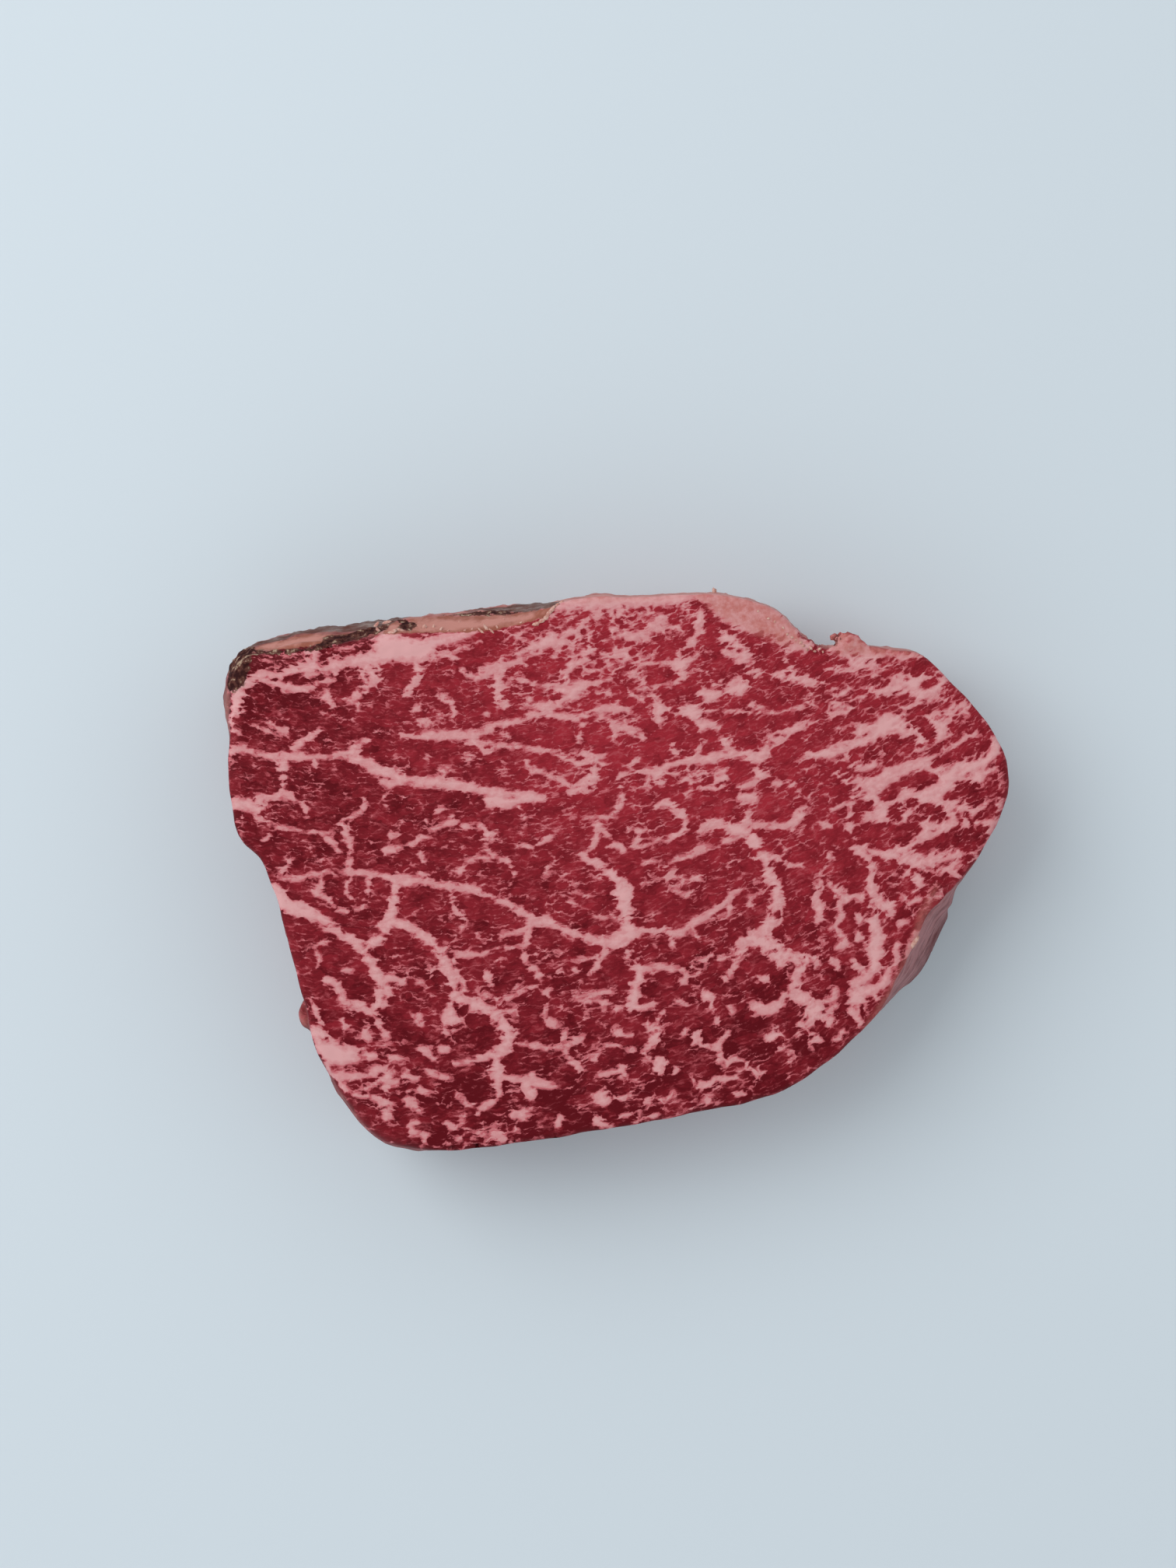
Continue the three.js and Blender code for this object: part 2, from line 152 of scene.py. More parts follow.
MIDDLE_SEAMS = (
    ((8, 12.8, 1), (10, 13.4, 2), (11.5, 12.4, 2), (13, 10.8, 1.6), (13.2, 9, 1.6), (12, 7.6, 1.4),
     (10, 6.2, 1), (6, 5.6, 0.8)),
    ((16.5, 9.6, 1.2), (19.5, 9.2, 2.2), (22.5, 8.6, 2.6), (25, 7.8, 2.6), (26.8, 6, 2.8), (28, 3.6, 2.8),
     (29, 1.4, 2.6), (29.6, -1, 2.6), (30.6, -3.4, 2.6), (30.8, -6, 2.4), (30.4, -8.4, 2.4),
     (28.8, -10.6, 2.8), (26.6, -12.4, 2.4), (24.2, -13.8, 2.2), (24, -16, 1.8), (22.8, -18.4, 1.4),
     (21, -20.4, 1.2), (20.4, -22, 1)),
    ((28.8, -11, 2.2), (30, -13.5, 2.2), (32, -15.6, 2.6), (35, -16.6, 2.4), (37.5, -17.2, 1.8)),
    ((36, -17.5, 1.8), (35, -20, 1.6), (34, -22.4, 1.6), (35.8, -24.4, 1.8), (37.5, -26, 2.2),
     (38.5, -28, 1.8), (37.5, -30, 1.4), (38.2, -32, 1), (38, -34, 0.8)),
    ((39, -27.6, 1.6), (41.5, -28.4, 1.6)),
    ((33, -23.6, 1), (31, -25, 0.9), (28, -26.2, 1.3), (26.3, -27.6, 0.9)),
    ((24, 7, 0.8), (20, 5.8, 0.8), (16, 4.2, 1), (12.5, 2.6, 1), (9, 2.2, 0.8), (5.5, 1.6, 0.7)),
    ((-6.5, 3.4, 1.6), (-4.5, 2, 1.8), (-2, 0.6, 2), (0.2, -1.4, 2.4), (1.2, -4, 3), (1.6, -7, 3),
     (2.4, -9.6, 2.8), (2.8, -11.6, 2.8), (1.6, -13.4, 3), (2.6, -15.6, 2), (4.2, -18, 1.9),
     (4.4, -20.4, 2.4), (3.4, -22.8, 2.4), (3.6, -25, 2)),
    ((-65, -1, 1), (-60, -0.6, 1.2), (-55, 0, 1.2), (-50, 0.2, 1), (-46, -0.6, 1.2), (-43, -1.2, 2),
     (-40, -1.6, 2.2), (-36, -1.8, 1.8), (-33, -2.6, 1.8), (-30, -3, 1.8), (-27, -3.2, 1.8),
     (-24.5, -4.2, 1.6), (-21.5, -5.8, 1.4), (-19, -6.8, 1.4), (-16, -8.6, 1.8), (-13, -9.4, 1.6),
     (-10, -11, 1.5), (-7, -12.2, 1.7), (-4, -12.8, 2), (-1, -13.4, 3), (2, -12.4, 3.2), (5, -11, 1.8),
     (8, -10.8, 1.8), (11, -11.6, 1.8), (14, -10.8, 1.7), (16.5, -9, 1.7), (18.6, -7.6, 1.4),
     (20.6, -6, 1.3), (22, -4.6, 1), (24, -3.4, 0.8)),
    ((-5, -19.6, 0.8), (-3.6, -17.6, 1.3), (-2.4, -15.6, 1.2), (-1.6, -14.4, 1.2)),
    ((5, -18.4, 1.2), (8, -18.2, 1.2), (10.5, -18.6, 1.2), (13, -18.6, 0.8)),
    ((-16.6, -9.4, 1.1), (-16.6, -12, 1.1), (-17.4, -14, 1), (-20, -14, 0.8), (-23, -14.6, 0.8)),
    ((-22, -11.8, 0.8), (-19, -11.4, 0.8), (-17, -10.8, 0.8)),
    ((-17.4, -15.4, 0.9), (-17.6, -17.6, 0.9), (-16, -18.6, 1.2), (-15, -20.4, 1.3), (-14, -22.2, 1.1),
     (-13, -24, 1), (-13.6, -26.4, 0.8), (-13.6, -28.6, 1.4), (-13, -29.4, 1.6), (-10.8, -29, 1)),
    ((-15, -21.6, 0.8), (-18, -23, 0.8), (-21, -24.4, 0.7)),
    ((-14, -22.2, 0.8), (-10.6, -22.8, 0.7)),
)
SOUTH_SEAMS = (
    ((-43, -1.5, 2.2), (-42.8, -4, 2.2), (-43.2, -7, 2.4), (-43.6, -9.6, 2.6), (-45.4, -12, 2.2),
     (-47.4, -14.2, 1.8), (-48.6, -15.2, 1.8)),
    ((-66, -4, 2.4), (-63.5, -6.2, 2.6), (-60, -8, 2.2), (-56.5, -9.4, 2), (-53.6, -11.2, 2),
     (-51, -13.2, 1.9), (-48.8, -15.4, 2.2), (-46.8, -18, 2), (-45.8, -20.4, 2), (-45.4, -23, 2),
     (-46.6, -25.6, 2.2), (-48, -27, 1.2)),
    ((-42.6, -9.6, 2.4), (-40.5, -10.4, 2.4), (-38, -11.6, 2.2), (-35.6, -13.2, 2.2), (-33.6, -15.4, 2.6),
     (-32.4, -17.8, 2.8), (-31.6, -20.6, 2.6), (-30.6, -23.4, 2.4), (-27.6, -25, 2.4), (-25, -26, 2.4),
     (-22.8, -28.2, 2.6), (-20.8, -30.6, 2.8), (-21.2, -33, 2.6), (-23, -35.2, 2.4), (-23.2, -37.4, 2.2),
     (-23.2, -39.6, 2.4), (-22.8, -41.6, 1.4), (-23.2, -43.6, 1.4), (-25.4, -45.2, 1.6), (-27.2, -45.6, 1.2)),
    ((-33.5, -15, 1.2), (-30, -15.6, 1.2), (-27, -15.6, 1), (-24.5, -15.2, 0.8), (-20, -14.4, 0.8)),
    ((-31.4, -24, 1), (-32.4, -26.4, 1), (-32, -28.6, 2), (-32.8, -30, 1.4)),
    ((-20.6, -31.6, 1.4), (-18, -33.2, 1.2), (-15, -33.8, 1.2), (-12, -34, 1.3), (-9.6, -33.6, 1.5),
     (-8, -32.6, 1.2), (-6.4, -31.8, 0.9)),
    ((-10, -34.4, 0.9), (-8.4, -36, 0.9), (-6.8, -37.6, 0.8)),
    ((-22.6, -39.6, 1.4), (-19.6, -39.8, 1.3), (-17, -40, 1.6), (-14, -40.6, 1.2), (-11.6, -41, 0.8)),
    ((-17.6, -40.4, 1.4), (-16.8, -42.4, 1.8), (-15.8, -43.4, 1)),
    ((-16.4, -39.6, 0.8), (-16, -38.2, 0.8)),
    ((-45, -21, 1.4), (-42.6, -20.6, 1.6), (-40, -21.6, 1), (-37, -21.4, 0.9)),
    ((-58, -30, 1.4), (-57, -32.4, 2.6), (-54.5, -35, 4), (-51, -35.8, 2.4), (-47, -36, 1.8),
     (-43.5, -36, 1.5), (-41, -35.4, 0.8)),
    ((-53, -39, 1.8), (-50, -39.4, 2), (-47, -38.6, 1.4), (-44.5, -37.6, 1)),
    ((-45, -40, 1.4), (-42, -40.4, 1)),
    ((-46, -43.5, 2.4), (-44.6, -45.6, 2), (-44, -47.6, 1.6)),
    ((0, -30.4, 2.2), (1.4, -31.4, 0.9)),
    ((8, -30, 2.2), (7.6, -31.8, 2.2), (6.4, -33.6, 1.2)),
    ((15.4, -31.4, 1.8), (16.8, -33, 1.2), (19.6, -33.6, 0.9), (21, -31.8, 1.2), (21.8, -30.4, 0.8)),
    ((8.5, -37.6, 2.4), (8.8, -37.5, 2.2)),
    ((-3, -42.2, 2.2), (-2.6, -43.6, 2.6)),
    ((0.4, -36, 1), (1.4, -37.8, 1.4), (-1, -38.4, 0.9), (-3, -38.8, 0.7)),
    ((17.6, -23.4, 2.2), (18, -25.6, 1.4), (19, -27.4, 1), (19.6, -29, 1)),
    ((30.6, -31, 1.8), (31, -33, 1.6)),
    ((33.2, -36, 1), (33.7, -36.1, 1)),
    ((27, -37.2, 1.2), (28.6, -39.2, 0.9)),
    ((46.4, 5, 2), (48, 3.4, 1.2), (49, 1.4, 1.2), (49.4, -1, 1.6), (49.6, -4, 2), (49.6, -7, 1.7),
     (50, -10, 1.7), (50.2, -13, 2.6), (50, -16, 2.6), (49.8, -18.6, 2.2), (48.4, -19.6, 1)),
    ((50, -4, 2), (52, -6.4, 2), (53.6, -8.2, 1.4)),
    ((48.6, -4.8, 0.9), (45.5, -4.6, 1.6), (43, -4.4, 1.8), (41.6, -3, 1), (40.8, -1, 0.9)),
    ((39.6, -1.5, 0.9), (38.8, -3.8, 1), (39.4, -6.4, 1.8), (39.6, -8.8, 1.3)),
    ((43.2, -6, 0.9), (43.6, -8.6, 1.2)),
    ((46, -21.4, 2), (47.6, -23, 2), (47, -25, 1.6), (46.6, -27, 1)),
    ((52.8, -18.6, 1), (51.6, -20.6, 1.4), (50, -22.6, 1.2)),
)

# Finer seams: the north side
NORTH_VEINS = (
    ((-73.4, 35.6, 3), (-73, 33.4, 3.4), (-73.6, 31, 2.8), (-74.2, 28.4, 1.8), (-72.6, 27, 1)),
    ((-59.6, 42.6, 1.4), (-57.6, 41, 2.2), (-55.6, 40.6, 2)),
    ((-55, 42.9, 0.6), (-50, 44.2, 0.7), (-47, 44.6, 1.2)),
    ((-47, 43, 4.6), (-44.5, 43.8, 6), (-41.5, 43.2, 6), (-38.5, 42.8, 5.6)),
    ((-47.4, 39.6, 3), (-46.8, 37.6, 2.4), (-47.2, 36, 1.6), (-49, 34.6, 1.2), (-50.4, 33.8, 0.9)),
    ((-68, 37.4, 2), (-65.4, 36.6, 2), (-62.6, 35.8, 1.6), (-60, 35.8, 1.4), (-57.5, 36.6, 1),
     (-55, 37.4, 0.8)),
    ((-60, 38.4, 0.8), (-57, 38.6, 0.8), (-54.6, 38, 0.8)),
    ((-56, 35, 1), (-55.2, 33.4, 1.8), (-54.4, 32.2, 1.4)),
    ((-52, 33.6, 1), (-50, 33, 1.3), (-49.6, 31.8, 1)),
    ((-36, 41.6, 1.4), (-33.6, 42.2, 1.8), (-31.4, 41.2, 1.6)),
    ((-31, 42.6, 1.2), (-28, 43.6, 1), (-26, 44.4, 0.7)),
    ((-30, 38.8, 1), (-27.6, 37.8, 1.4), (-25, 38.4, 2), (-23, 38.8, 2.4)),
    ((-19.4, 45.4, 1), (-17.6, 45, 1), (-16, 44.6, 0.8)),
    ((-16, 43.6, 2), (-13.4, 44.6, 3.2), (-10.6, 45.8, 2.6), (-8, 47.2, 2)),
    ((-4.4, 46.4, 1), (-4.8, 44.6, 1.6), (-5.2, 42.6, 2), (-6.4, 41.2, 1.6), (-8.4, 40, 1.6),
     (-9.8, 38.4, 1.6)),
    ((-11, 35.6, 1.6), (-8.6, 34.8, 3), (-6, 35.8, 2), (-3.4, 36.4, 1.2), (-1, 36.8, 1)),
    ((-16.8, 33.4, 1.2), (-16, 33.2, 1.2)),
    ((-34.4, 35, 1), (-33, 33.8, 1.6), (-31.6, 32.6, 1.2), (-31.2, 31, 0.9), (-31.6, 29, 0.9)),
    ((-38.8, 31.8, 1.8), (-38, 31.6, 1.6)),
    ((-37.4, 29.6, 1.4), (-36.6, 29, 1.2)),
    ((-0.6, 41.4, 1.4), (1.6, 41.8, 2.6), (3, 41, 1.2)),
    ((3.4, 38.6, 1.6), (5, 40, 1.4), (8, 40.4, 1), (10, 40.6, 1.2)),
    ((14.8, 44.6, 1.6), (12.8, 42.4, 1), (11.2, 41, 1.2)),
    ((0, 46.4, 1.2), (2.6, 45.4, 1.4), (5.4, 46, 1.8), (7.6, 47.2, 1.8), (9.4, 48.6, 1.4)),
    ((21, 43, 1.2), (22.4, 42.6, 1.4), (23.6, 41.6, 1)),
    ((24.4, 44.4, 1.2), (24.8, 42.8, 2), (24.6, 41, 1.6), (23.6, 40.2, 1.2)),
    ((26, 39.4, 1.8), (27.4, 38.6, 1.6)),
    ((22, 35.4, 2), (24, 36.2, 2.6), (23.6, 34.8, 1.6)),
    ((18.4, 37, 1), (19.6, 36, 1.2), (20.6, 37.4, 0.9)),
    ((12.6, 31.4, 1.6), (14.6, 31.2, 3.2), (15.6, 29.4, 1.4)),
    ((7.6, 33, 1), (8.6, 31.4, 2.4), (8.6, 29.8, 2)),
    ((2.6, 34.4, 1.2), (4.8, 33.6, 1.4), (5.6, 33, 0.9)),
    ((26, 32.6, 1.2), (27.6, 32.2, 1.2)),
    ((17, 31.4, 0.6), (22, 31, 0.6), (27, 30.6, 0.6), (31, 30.8, 0.6), (36, 32, 0.6)),
    ((32.6, 41, 1), (33.4, 40, 1)),
)

# Finer seams: the west side
WEST_VEINS = (
    ((-70, 28.6, 0.8), (-67.6, 27, 0.9), (-66, 26.4, 0.8)),
    ((-67, 29, 1), (-65.4, 27.6, 1.6), (-63.4, 27.4, 1.2)),
    ((-64, 22, 2.4), (-64.4, 20, 1.8), (-64.2, 18, 1.6), (-64.4, 16, 1.4), (-65, 14.6, 1.4)),
    ((-58.4, 22, 1.2), (-58, 20.8, 1.2)),
    ((-50.6, 24.4, 1.6), (-50.2, 22.4, 1.8)),
    ((-69, 13.8, 2.6), (-67, 14.2, 1.4), (-64, 14.8, 1.6), (-62, 14.2, 1.2)),
    ((-56, 7, 0.8), (-54.4, 5.4, 0.8), (-53.6, 4, 0.8)),
    ((-41.8, 10, 0.8), (-42.2, 8, 1.4), (-43.4, 7, 0.9)),
    ((-44.6, 4.6, 1.2), (-43.6, 4, 1.4), (-41.6, 4.6, 0.9), (-40, 5, 0.7)),
    ((-45, 14.6, 0.8), (-44.6, 12.6, 0.8)),
    ((-28.4, 26, 2), (-26, 24.4, 1.6), (-24.6, 23.4, 1.6)),
    ((-6, 23, 1.2), (-5, 21.8, 2.4), (-4.6, 20, 2.2), (-4.6, 18, 2.4), (-6.4, 16.2, 2)),
    ((-31.4, 20.4, 1), (-33.2, 19.8, 1.4), (-33.2, 18.4, 1.8)),
    ((-24, 14.6, 3), (-21.6, 14, 3), (-19, 14.2, 2), (-16, 14.4, 2), (-14, 14, 1.4)),
    ((-18.6, 12.8, 1), (-18, 11, 0.8)),
    ((-36.6, 22.4, 0.9), (-36.4, 21, 1)),
    ((-28.8, 21.8, 1.2), (-28, 21.6, 1)),
    ((-34.4, 12.2, 1.6), (-33.6, 12.2, 1.4)),
    ((-32, 11, 1), (-31, 9.8, 1), (-33.6, 9, 0.9), (-36, 8.4, 0.8)),
    ((-29.2, 8.8, 1), (-28.8, 8, 0.9)),
    ((-26, 9, 1), (-24.8, 7.6, 2.2), (-25.2, 5.6, 1.2), (-24.4, 4, 1)),
    ((-11.6, 8.2, 0.8), (-13.4, 7, 1.2), (-15, 5.4, 1.2)),
    ((-17.6, 5.4, 1.2), (-16, 5, 1)),
    ((-3.2, 9.6, 1.2), (-3.4, 7.4, 1), (-4.4, 5.6, 0.9), (-5, 4.8, 0.8)),
    ((-3.4, 22, 0.8), (-1, 22, 0.8)),
    ((-3, 20.6, 0.8), (-1, 20.2, 0.8)),
    ((-40, 5.2, 0.9), (-37.4, 6.6, 0.9), (-36, 6.4, 0.8)),
    ((-38, 4, 1), (-37.4, 2.6, 1)),
    ((-62.6, 3, 0.9), (-64, 1, 1.2), (-65.2, -0.4, 1.4)),
    ((-51.2, 2.4, 1.2), (-51, 1, 1.4)),
    ((-56.6, -0.8, 0.8), (-56.4, -2.4, 1), (-57.6, -3.6, 1.2), (-56.4, -4.6, 1.2), (-54.8, -5.4, 1),
     (-54, -6.6, 1), (-52.4, -7.4, 1), (-50, -7, 0.8)),
    ((-51.4, -0.6, 1), (-51.8, -2.4, 1), (-52, -3.8, 1), (-51, -4.6, 0.8)),
    ((-47.6, -0.8, 0.9), (-47.8, -2.6, 0.9), (-48.2, -4.4, 0.9), (-49.2, -5.6, 0.9), (-48.6, -7, 0.8)),
    ((-66, -4, 4), (-63.5, -6, 3.2), (-60.4, -7.6, 2.8), (-57, -9.2, 2.2)),
    ((-60, -14.6, 0.7), (-58, -14.2, 0.9), (-56, -13.4, 1), (-54.4, -12.8, 0.9)),
    ((-57.6, -15.2, 0.8), (-57, -17, 0.8), (-57.4, -18, 0.7)),
    ((-52.6, -18.8, 0.8), (-51, -18.8, 0.8)),
    ((-56, -20.4, 1.4), (-54.4, -21, 2), (-53.4, -22.6, 1.2), (-52.4, -23.6, 0.8)),
)

# Finer seams: the middle
MIDDLE_VEINS = (
    ((15.6, 22.6, 1.6), (16.4, 24.4, 1.4), (16.8, 25.8, 0.9)),
    ((11, 24.8, 0.9), (11.4, 23, 1.2), (12.6, 21.8, 1.2)),
    ((8.2, 19.4, 2.4), (8.8, 17.8, 2.2)),
    ((10, 19.6, 1.2), (12.4, 18.6, 1), (14.8, 17, 1.2), (13.6, 15.4, 1.2)),
    ((15.4, 16.6, 0.8), (18, 16.6, 0.8), (20.4, 16.4, 0.8)),
    ((19.6, 18, 2), (21, 18.8, 1.8), (20.4, 16.6, 1.4)),
    ((-0.6, 28.4, 1.8), (2, 27.8, 2), (4.4, 27, 1), (5, 25.8, 0.8)),
    ((4, 22.2, 1), (3.2, 21.2, 1.6), (2.4, 20, 1.2)),
    ((16.4, 28.6, 1.4), (18, 29, 1.6), (19.6, 28, 1)),
    ((4.4, 8, 1.2), (4.6, 6.6, 1.6), (3.2, 5.4, 1.4), (6, 5.2, 1)),
    ((-1.4, 4.6, 1.2), (0.4, 5.2, 1.4), (1.6, 4.4, 1)),
    ((24.6, 10.2, 2), (25.2, 11.6, 1)),
    ((26.6, 9, 1.4), (29.4, 9.2, 1.2), (32.4, 9.4, 1.4), (34.6, 10.4, 2.4), (35.4, 11.6, 2.2),
     (36.8, 12.6, 1)),
    ((32.8, 17.2, 1.4), (34.2, 16.4, 1.8), (35.2, 15.8, 1)),
    ((30.6, 17.2, 0.9), (32, 17, 0.9)),
    ((24, 14.6, 1.2), (26.4, 14.4, 1.4), (27, 13.2, 1)),
    ((24.4, 16.4, 1), (26, 17, 1.2), (27.4, 17.6, 1)),
    ((30.4, 2.8, 2), (32, 2, 1.6), (34, 1.2, 1), (36, 1.8, 0.8)),
    ((26, -12.6, 3.2), (28.4, -13.6, 3), (30.6, -15.4, 2.8), (32, -17, 2.2)),
    ((10.6, -12.6, 1.2), (11, -14, 1.2), (11.6, -15, 0.9)),
    ((15.4, -10.8, 1.2), (16, -12.4, 1), (16.4, -13.6, 0.8)),
    ((22.4, -5, 1), (22, -6.6, 1.4), (21.6, -8, 0.8)),
    ((24.4, -4.6, 0.8), (27.6, -4.8, 0.8)),
    ((26, -5.6, 0.9), (26.6, -6.8, 0.8)),
    ((14.8, -0.8, 1.2), (16.4, -0.8, 1.6)),
    ((10, -3.4, 0.8), (12.4, -3.8, 1), (13.6, -4.2, 1), (14.6, -2.8, 0.8)),
    ((17.2, -17.4, 1.6), (18.4, -16.2, 1), (20.4, -16.8, 1)),
    ((12.6, -20.6, 1.4), (13.4, -20.6, 1.2)),
    ((28.2, -20.4, 1.4), (29, -20.4, 1.2)),
    ((-30.4, -0.4, 1), (-29.4, 1, 1.2), (-28, 2.2, 1), (-25.4, 3, 1.4), (-23, 3, 1.2), (-21, 2.2, 1.4),
     (-20.2, 1, 1), (-19.4, -0.6, 0.8)),
    ((-37.6, 1.2, 0.8), (-37.6, -0.2, 1.6)),
    ((-31.6, -4, 1.2), (-31.4, -6, 1.2), (-30.4, -8, 1.6), (-29.6, -9.6, 1.4), (-29.8, -10.8, 0.8)),
    ((-26.4, -12.2, 1), (-26, -12.2, 1)),
    ((-22.4, -11.6, 0.9), (-22, -12.8, 0.9)),
    ((-33, -16.4, 3.2), (-32.2, -19, 3.2), (-31, -22, 3.2)),
    ((-30.8, -18, 1), (-30, -20.4, 1.6), (-29.4, -22.4, 1.8), (-28.8, -24, 1.8)),
    ((-25, -19.6, 1.4), (-24.4, -20.8, 1.2), (-23.6, -22, 1)),
    ((-22.2, -17.4, 1.6), (-21.8, -17.4, 1.4)),
    ((-15.4, -15, 0.8), (-15.2, -17.4, 0.8)),
    ((-8.6, -17, 0.8), (-6, -16.4, 0.9), (-4, -15.8, 0.9)),
    ((-8.4, -18.6, 1), (-7.6, -18.6, 1)),
    ((-8.8, -6, 1.6), (-8.4, -6.2, 1.4)),
    ((-7.6, -3.6, 0.9), (-5.6, -4.4, 1), (-4, -4.6, 0.9)),
    ((-4, -8.4, 0.8), (-2, -8.8, 0.8), (0, -8.8, 0.8)),
    ((-13.4, 0, 0.8), (-11.6, 0.2, 0.8)),
)

